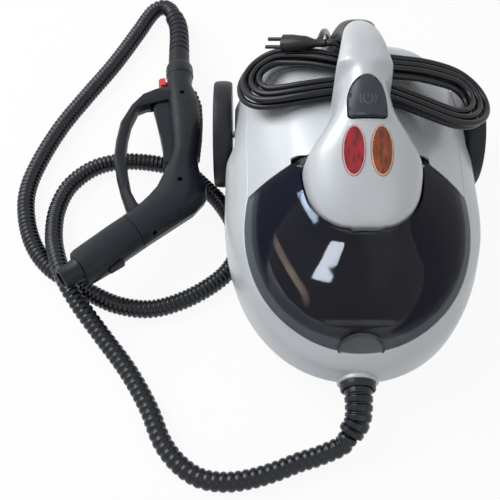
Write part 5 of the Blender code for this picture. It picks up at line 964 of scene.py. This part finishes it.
def spine_plan(gap, rear_y):
    """The bulb's outline seen from above, grown by a gap, up to a rear line."""
    half = [(y, width) for y, width, _, _ in spine_table() if y < rear_y]
    half = [(y - gap if index == 0 else y, width) for index, (y, width) in enumerate(half)]
    right = [(width + gap, y) for y, width in half]
    edge = right[-1][0]
    return right + [(edge, rear_y), (-edge, rear_y)] + [(-x, y) for x, y in reversed(right)]


def button_point(a, b, depth):
    """A place in the button's tilted frame, depth up out of the spine."""
    tilt = math.radians(BUTTON_TILT_DEGREES)
    y = BUTTON_PLACE[0] + b * math.cos(tilt) - depth * math.sin(tilt)
    return Vector((a, y, BUTTON_PLACE[1] + b * math.sin(tilt) + depth * math.cos(tilt)))


def button_outline(inset):
    """An arch with a flat lower edge and slightly leaning sides."""
    half_width, half_length = BUTTON_HALF_WIDTH - inset, BUTTON_LENGTH / 2 - inset
    corner = BUTTON_CORNER - inset / 2
    points = [(half_width - corner + corner * math.sin(math.radians(a)),
               -half_length + corner * (1 - math.cos(math.radians(a)))) for a in range(0, 91, 15)]
    for step in range(BUTTON_STEPS + 1):
        angle = math.pi * step / BUTTON_STEPS
        rise = math.sin(angle) ** (2 / SPINE_ROUNDNESS) if 0 < step < BUTTON_STEPS else 0
        points.append((half_width * math.cos(angle),
                       half_length * (BUTTON_SHOULDER + (1 - BUTTON_SHOULDER) * rise)))
    points += [(-half_width + corner - corner * math.cos(math.radians(a)),
                -half_length + corner * (1 - math.sin(math.radians(a)))) for a in range(0, 91, 15)]
    return points


def make_shells():
    """Lower and upper shell."""
    outer, cavity = body(), body(-SHELL_WALL, -OVERRUN)
    for side in (1, -1):
        cut(outer, wheel_well(side))
        cut(cavity, wheel_well(side, SHELL_WALL))
    upper, spare = copied(outer), copied(cavity)
    for side in (1, -1):
        cut(upper, rod(KNUCKLE_RADIUS, KNUCKLE_OUTER_X - LUG_INNER_X, (side * LUG_INNER_X, *HINGE), (side, 0, 0)))
    cut(outer, cavity, past_parting(True))
    for side in (1, -1):
        start = (side * (WHEEL_INNER_X - WELL_DEPTH_GAP - 2 * SHELL_WALL), WHEEL_Y, WHEEL_RADIUS)
        cut(outer, rod(AXLE_RADIUS + RUN_GAP, 3 * SHELL_WALL, start, (side, 0, 0)))
    cut(outer, rod(GLAND_RADIUS + GAP, BODY_FRONT + OVERRUN + GLAND_ROUTE[0][1] + GAP,
                   (0, -BODY_FRONT - OVERRUN, OUTLET_Z), (0, 1, 0)))
    cut(outer, rod(CORD_GLAND_RADIUS + GAP, CORD_GLAND_BORE, CORD_EXIT - Vector((0, CORD_GLAND_BORE, 0)),
                   (0, 1, 0)))
    fine(outer, "lower_shell", PEARL, 0.0005)
    cut(upper, spare, past_parting(False, RUN_GAP), beside_hood_line(True, RUN_GAP))
    fine(upper, "upper_shell", PEARL, 0.0005)


def make_hood():
    """The smoked hood with its hinge ears, and the tab on its front edge."""
    hood = body()
    cut(hood, body(-HOOD_WALL, -OVERRUN), past_parting(False, RUN_GAP), beside_hood_line(False, -RUN_GAP),
        prism(spine_plan(NOTCH_GAP, 2 * SPINE_REAR), PARTING[1][1], 2 * BODY_HEIGHT, flat))
    for side in (1, -1):
        combine(hood, "UNION", rod(EAR_RADIUS, EAR_WIDTH, (side * EAR_INNER_X, *HINGE), (side, 0, 0)))
    low, high = PARTING[0][1] / 2, PARTING[1][1]

    def tab_plan(grown):
        return oval(TAB_HALF_WIDTH + grown, TAB_DEPTH + grown, OVAL_SIDES, (0, PARTING[0][0]))

    def tab_form(outline, proud):
        form = combine(body(proud), "INTERSECT", prism(outline, low, high, flat))
        return cut(form, body(-TAB_WALL, -OVERRUN), past_parting(False, RUN_GAP))

    cut(hood, prism(tab_plan(GAP), low, high, flat))
    fine(hood, "hood", HOOD, 0.0004)
    fine(tab_form(tab_plan(-TAB_RIM), TAB_PROUD / 3), "hood_tab", TAB)
    rim = cut(tab_form(tab_plan(0), TAB_PROUD), prism(tab_plan(-TAB_RIM), low / 2, 2 * high, flat))
    rim.data.transform(Matrix.Translation(MACHINE))
    detail(rim, "tab_rim", TAB_BLACK, BODY_OF["hood"], SLOT_OF["hood_tab"])


def make_spine():
    """The spine cover, its two lenses and the button."""
    cover, dome = spine(), body(GAP)
    cut(dome, beside_hood_line(True, RUN_GAP - GAP))
    rows = [row for row in spine_table(-SPINE_WALL) if row[0] < SPINE_REAR * SPINE_ROOM_END]
    cut(cover, dome, loft([spine_ring(y, width, SPINE_BOTTOM - OVERRUN, top) for y, width, _, top in rows]),
        prism(button_outline(0), -BUTTON_DEPTH - BUTTON_TRAVEL - RUN_GAP, BUTTON_LENGTH, button_point))
    low, high = SPINE_BOTTOM + SPINE_RISE / 4, 2 * BODY_HEIGHT
    for side, name, mat, rim in ((-1, "red", RED_LENS, RED_RIM), (1, "amber", AMBER_LENS, AMBER_RIM)):

        def lens_plan(inset):
            return oval(LENS_HALF_WIDTH - inset, LENS_HALF_LENGTH - inset, OVAL_SIDES, (side * LENS_X, LENS_Y))

        cut(cover, prism(lens_plan(0), low, high, flat))
        glass = combine(spine(LENS_PROUD), "INTERSECT", prism(lens_plan(GAP + LENS_RIM), low, high, flat))
        fine(cut(glass, spine(-LENS_WALL)), "lens_" + name, mat, 0.0006)
        ring = combine(spine(LENS_RIM_PROUD), "INTERSECT", prism(lens_plan(GAP), low, high, flat))
        cut(ring, spine(-LENS_WALL), prism(lens_plan(GAP + LENS_RIM), low / 2, high, flat))
        ring.data.transform(Matrix.Translation(MACHINE))
        detail(ring, "lens_rim_" + name, rim, "machine", SLOT_OF["lens_" + name])
    fine(cover, "spine_cover", PEARL, 0.0005)
    button = combine(spine(BUTTON_PROUD), "INTERSECT",
                     prism(button_outline(BUTTON_INSET), -BUTTON_DEPTH, BUTTON_LENGTH, button_point))
    return fine(button, "power_button", BUTTON, 0.0012)


def detail(obj, name, mat, rides, slot):
    """Names a small piece that comes on top of the nodes, and gives it its finish and body."""
    obj.name = name
    obj.data.materials.clear()
    obj.data.materials.append(mat)
    obj.data.shade_smooth()
    obj.data.set_sharp_from_angle(angle=math.radians(FINE_SHARP))
    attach(obj, rides)
    return obj


def make_grip():
    """Black lower half of the handle, from the spine's foot over the deck and down."""
    rows = [(share * GRIP_REACH, height * GRIP_HEIGHT, width, thickness)
            for share, height, width, thickness in GRIP_ROWS]
    rows = eased(walked([row[:2] for row in rows]), rows, ROW_STEPS)
    rings = []
    for index, (y, z, width, thickness) in enumerate(rows):
        before, after = rows[max(index - 1, 0)], rows[min(index + 1, len(rows) - 1)]
        way = Vector((after[0] - before[0], after[1] - before[1])).normalized()
        outline = oval(width * GRIP_HALF_WIDTH, thickness * GRIP_HALF_THICKNESS, GRIP_SIDES, (0, 0),
                       GRIP_ROUNDNESS)
        rings.append([Vector((a, y - way.y * b, z + way.x * b)) for a, b in outline])
    fine(cut(loft(rings), spine(GAP), body(GAP)), "handle_grip", BLACK, 0.0005)


def relief_skin(route, start_radius, end_radius, slits):
    """A bend relief: a sleeve along a route, ringed by round grooves."""
    places = smooth_route(route, SLIT_DEPTH / 5)
    rings = []
    for index, (place, axes) in enumerate(zip(places, frames_along(places))):
        share = index / (len(places) - 1)
        phase = max(share - RELIEF_PLAIN, 0) / (1 - RELIEF_PLAIN) * (slits + 0.5) % 1
        groove = max(0.0, 1 - abs(phase - 0.5) / SLIT_HALF_SHARE) ** SLIT_POWER if share > RELIEF_PLAIN else 0
        edge = max(0.0, 1 - (1 - share) / RELIEF_EDGE_SHARE) ** 2
        radius = start_radius + (end_radius - start_radius) * share - SLIT_DEPTH * groove - RELIEF_EDGE * edge
        rings.append(ring_at(place, *axes, radius, RELIEF_SIDES))
    return loft(rings)


def make_wheels():
    """Wheels with rounded tyres and domed hubcaps."""
    half = WHEEL_WIDTH / 2
    tyre = [(TYRE_SEAT, 0.0), (TYRE_SEAT, WHEEL_WIDTH)]
    for degrees in range(90, -91, -10):
        turn = math.radians(degrees)
        bulge = TYRE_BULGE * math.cos(turn) ** TYRE_POWERS[0] if abs(degrees) < 90 else 0
        tyre.append((TYRE_CROWN + bulge, half + half * powered(math.sin(turn), TYRE_POWERS[1])))
    for side, name in ((1, "right"), (-1, "left")):
        start = (side * WHEEL_INNER_X, WHEEL_Y, WHEEL_RADIUS)
        for profile, node_name, mat in ((tyre, "tyre_", RUBBER), (WHEEL_PROFILE, "wheel_", WHEEL),
                                        (HUBCAP_PROFILE, "hubcap_", WHEEL)):
            bm = bmesh.new()
            rings = turned(profile, start, (side, 0, 0))
            skin_rings(bm, rings + rings[:1], False)
            bmesh.ops.remove_doubles(bm, verts=bm.verts, dist=BOOLEAN_WELD)
            fine(solid(bm), node_name + name, mat, 0.0, WHEEL_SHARP)


# Marks and screws

MARK_LIFT = 0.00008
MARK_ROOT = 0.0002
MARK_WELD = 0.000002


def strip(name, spots, width, mat, rides, slot):
    """A thin line laid on a surface through (place, normal) spots."""
    rings = []
    for index, (place, normal) in enumerate(spots):
        before, after = spots[max(index - 1, 0)][0], spots[min(index + 1, len(spots) - 1)][0]
        side = (after - before).cross(normal).normalized() * (width / 2)
        rings.append([place - side - normal * MARK_ROOT, place + side - normal * MARK_ROOT,
                      place + side + normal * MARK_LIFT, place - side + normal * MARK_LIFT])
    bm = bmesh.new()
    skin_rings(bm, rings)
    bmesh.ops.remove_doubles(bm, verts=bm.verts, dist=MARK_WELD)
    bmesh.ops.recalc_face_normals(bm, faces=bm.faces)
    return detail(link(name, bm), name, mat, rides, slot)


def mark_button(button):
    """The generic power sign, pressed between two arcs on the button."""
    tree = surface_tree(button)
    down = button_point(0, 0, -1) - button_point(0, 0, 0)

    def on_button(a, b):
        place, normal, _, _ = tree.ray_cast(MACHINE + button_point(a, b, BUTTON_DEPTH), down)
        return place, normal

    def arc(radius, start, stop, steps=20):
        turns = [math.radians(start + (stop - start) * step / steps) for step in range(steps + 1)]
        return [on_button(radius * math.sin(t), SIGN_B + radius * math.cos(t)) for t in turns]

    for name, spots in (("sign_ring", arc(SIGN_RADIUS, 32, 328)),
                        ("sign_bar", [on_button(0, SIGN_B + SIGN_RADIUS * k) for k in (0.25, 0.6, 0.95, 1.25)]),
                        ("sign_arc_right", arc(SIGN_ARC_RADIUS, 55, 125)),
                        ("sign_arc_left", arc(SIGN_ARC_RADIUS, 235, 305))):
        strip(name, spots, SIGN_WIDTH, MARK, BODY_OF["power_button"], SLOT_OF["power_button"])


SIGN_B = -0.0030
SIGN_RADIUS = 0.0044
SIGN_ARC_RADIUS = 1.65 * SIGN_RADIUS
SIGN_WIDTH = 0.0009
SCREW_PIXELS = ((182, 92), (180, 179), (155, 233))
SCREW_SPOTS = [seen(pixel, "gun_shell_upper") for pixel in SCREW_PIXELS]
SCREW_SIDES = 32
WELL_RADIUS = 0.0029
WELL_DEPTH = 0.0017
WELL_EDGE = 0.0003
WELL_SLACK = 1.02
HEAD_RADIUS = 0.0023
HEAD_HEIGHT = 0.0009
HEAD_LIFT = 0.0002
# shares of the head's radius and height
HEAD_PROFILE = ((1.0, 0.0), (1.0, 0.6), (0.8, 1.0), (0.3, 1.15))
CROSS_WIDTH = 0.0007
CROSS_LENGTH = 1.3 * HEAD_RADIUS
RECESS_PIXEL = (169.5, 215)
RECESS_HALF = (0.0125, 0.0120)
RECESS_DEPTH = 0.0006
RECESS_ROUNDNESS = 3.0


def well_tool(place, normal):
    """A tool that bores a screw well."""
    return rod(WELL_RADIUS, 2 * WELL_DEPTH, place - normal * WELL_DEPTH, normal, SCREW_SIDES)


def in_shaded_well(centre, normal):
    """True inside the wells of the gun's screws, which are painted near-black as shade."""
    for place, out in SCREW_SPOTS:
        way = centre - place
        depth = -way.dot(out)
        near = way.length < WELL_RADIUS + WELL_DEPTH and (way + out * depth).length < WELL_RADIUS * WELL_SLACK
        if near and depth > WELL_EDGE:
            return True
    return False


def make_screws():
    """Cross-head screws at the bottom of the gun's wells, painted near-black as shade like the wells."""
    for index, (place, normal) in enumerate(SCREW_SPOTS):
        foot = place - normal * (WELL_DEPTH + HEAD_LIFT)
        profile = [(HEAD_RADIUS * radius, HEAD_HEIGHT * height) for radius, height in HEAD_PROFILE]
        head = loft(turned(profile, foot, normal, SCREW_SIDES))
        turn = normal.to_track_quat("Z", "Y").to_matrix()
        for a, b in ((CROSS_WIDTH / 2, CROSS_LENGTH / 2), (CROSS_LENGTH / 2, CROSS_WIDTH / 2)):
            cut(head, prism(((-a, -b), (a, -b), (a, b), (-a, b)), HEAD_HEIGHT * 0.4, 2 * HEAD_HEIGHT,
                            lambda *spot: foot + turn @ Vector(spot)))
        detail(head, f"gun_screw_{index}", SCREW_WELL_SHADE, BODY_OF["gun_shell_upper"], SLOT_OF["gun_shell_upper"])


def recess_tool():
    """A tool that presses the gun's bare oval recess."""
    place, normal = seen(RECESS_PIXEL, "gun_shell_upper")
    side = (GUN.to_3x3() @ Vector((0, 1, 0))).cross(normal).normalized()
    up = normal.cross(side)
    return prism(oval(*RECESS_HALF, 48, (0, 0), RECESS_ROUNDNESS), -RECESS_DEPTH, 0.01,
                 lambda a, b, depth: place + side * a + up * b + normal * depth)


make_shells()
make_hood()
mark_button(make_spine())
make_grip()
make_wheels()
fine(loft(turned(COLLAR_PROFILE, (0, COLLAR_Y - COLLAR_LENGTH, OUTLET_Z), (0, 1, 0))), "hose_collar",
     PEARL, 0.0, 40.0, BLACK, on_collar_black)
fine(relief_skin(GLAND_ROUTE, GLAND_RADIUS, GLAND_END_RADIUS, GLAND_SLITS), "hose_gland", HOSE, 0.0, 60.0)
fine(relief_skin(gun_relief_route(), GUN_RELIEF_RADIUS, GUN_RELIEF_END_RADIUS, GUN_RELIEF_SLITS), "gun_relief",
     CHARCOAL, 0.0, 60.0, shift=Vector())
# node, material, bevel and, where it isn't the usual one, the angle of a sharp edge
for row in (
    ("bulkhead", LINER), ("castor_wheel", RUBBER, 0.0008), ("castor_fork", GREY, 0.0004),
    ("base_pan", BLACK, 0.0005), ("filler_cap", BLACK, 0.0005), ("cap_insert", BRASS, 0.0003),
    ("steam_tube", SILICONE, 0.0, 60.0), ("terminal_block", BLOCK_GREY, 0.0004),
    ("cord_gland", BLACK, 0.0004, 40.0), ("plug", BLACK, 0.0004, 40.0),
    ("gun_shell_lower", CHARCOAL, 0.0007, 42.0), ("nozzle_sleeve", CHARCOAL, 0.0006, 42.0),
    ("nozzle", CHARCOAL, 0.0006, 40.0), ("gun_collar", CHARCOAL, 0.0005, 40.0),
    ("grip_pad", RUBBER, 0.0003, 40.0), ("trigger", CHARCOAL, 0.0005), ("trigger_lock", RED, 0.0004),
    ("sleeve_latch", CHARCOAL, 0.0005),
):
    dressed(*row)
# upward faces of the cover take the paler grey, partly painted light
dressed("inner_cover", LINER, 0.0, 40.0, LEDGE_GREY_AND_PAINTED_LIGHT, on_ledge_painted_light)
# the insides of the screw wells take painted shade
dressed("gun_shell_upper", CHARCOAL, 0.0007, 42.0, SCREW_WELL_SHADE, in_shaded_well,
        tools=[well_tool(*spot) for spot in SCREW_SPOTS] + [recess_tool()])
make_screws()
finished(STEEL, "rear_axle", "hinge_pin_left", "hinge_pin_right", "castor_pin", "trigger_pin", "heater")
finished(GREY, "axle_block_left", "axle_block_right")
finished(ALUMINIUM, "boiler_lower", "boiler_upper")
finished(BRASS, "outlet_pipe", "steam_jet", "steam_valve")
finished(LINER, "control_plate")
finished(BOARD, "control_board")
finished(WHITE, "power_switch")
finished(CLEAR, "lamp_red", "lamp_amber")
make_hose().data.materials.append(HOSE)
make_cord().data.materials.append(CORD)


# Stage: a pale floor, soft lights and a white surround

FLOOR_GLOW = 0.92
SURROUND = 0.36


def seen_straight(tree):
    """1 for rays from the camera, off a gloss and through what is clear."""
    path = node(tree, "LightPath").outputs
    near = maths(tree, "MAXIMUM", path["Is Camera Ray"], path["Is Glossy Ray"])
    return maths(tree, "MAXIMUM", near, path["Is Transmission Ray"])


def make_floor():
    """A pale floor that renders white and keeps a soft shadow."""
    bm = bmesh.new()
    bmesh.ops.create_grid(bm, x_segments=1, y_segments=1, size=6)
    floor = link("floor", bm, False)
    mat, tree, shader = new_material("floor_white")
    fed(shader, Base_Color=(0.86, 0.87, 0.88, 1), Roughness=0.7)
    glow = node(tree, "Emission", (1, 1, 1, 1), 1.0)
    mix = node(tree, "MixShader", maths(tree, "MULTIPLY", seen_straight(tree), FLOOR_GLOW), shader.outputs["BSDF"],
               glow.outputs["Emission"])
    fed(tree.nodes["Material Output"], Surface=mix.outputs["Shader"])
    floor.data.materials.append(mat)


def area_light(name, place, aim, width, height, power, color=(1, 1, 1)):
    """A soft rectangular light aimed at a point."""
    data = bpy.data.lights.new(name, "AREA")
    data.shape = "RECTANGLE"
    data.size, data.size_y = width, height
    data.energy = power
    data.color = color
    lamp = shown(name, data)
    lamp.location = place
    lamp.rotation_euler = (Vector(aim) - Vector(place)).to_track_quat("-Z", "Y").to_euler()
    return lamp


CARD_DISTANCE = 1.2
# name, the pixels at the middle of its top, bottom, left and right edge in the photograph, radiance and colour
CARDS = (
    ("card_tall", (299, 184), (310, 236), (301, 212), (307, 211), 34.0, (0.62, 0.78, 1.0)),
    ("card_window", (329, 250), (328, 268), (325, 258), (332, 258), 46.0, (0.80, 0.88, 1.0)),
)


def reflection_card(lit, name, top, bottom, left, right, radiance, color):
    """A window-like light that shows only in the hood's gloss, where the rays of these pixels leave it."""
    ends = []
    for pixel in (top, bottom, left, right):
        place, normal = seen(pixel, "hood")
        ends.append(place + ray_through(pixel)[1].reflect(normal) * CARD_DISTANCE)
    middle = sum(ends, Vector()) / 4
    back = (middle - place).normalized()
    up = ends[0] - ends[1]
    up = (up - back * up.dot(back)).normalized()
    width, height = (ends[3] - ends[2]).length, (ends[0] - ends[1]).length
    lamp = area_light(name, middle, place, width, height, radiance * math.pi * width * height, color)
    lamp.rotation_euler = Matrix((up.cross(back), up, back)).transposed().to_euler()
    lamp.visible_diffuse = False
    lamp.light_linking.receiver_collection = lit
    return lamp


def make_light():
    """A big soft light from the left and behind, a weak one in front, and a white surround."""
    area_light("key", (-1.5, 0.7, 1.5), MACHINE, 1.6, 1.6, 44)
    area_light("fill", (0.9, -1.4, 1.3), MACHINE, 1.5, 1.5, 3)
    glossy = bpy.data.collections.new("glossy")
    glossy.objects.link(bpy.data.objects["hood_skin"])
    for card in CARDS:
        reflection_card(glossy, *card)
    world = bpy.data.worlds.new("surround")
    bpy.context.scene.world = world
    world.use_nodes = True
    tree = world.node_tree
    strength = node(tree, "MapRange", seen_straight(tree), To_Min=SURROUND, To_Max=1.0)
    fed(tree.nodes["Background"], Color=(1, 1, 1, 1), Strength=strength.outputs["Result"])


make_floor()
make_light()
bpy.context.scene.view_settings.view_transform = "Standard"
# by colour alone: the guide passes are noisy where the clear hood mirrors, and leave speckles there
bpy.context.scene.cycles.denoising_input_passes = "RGB"
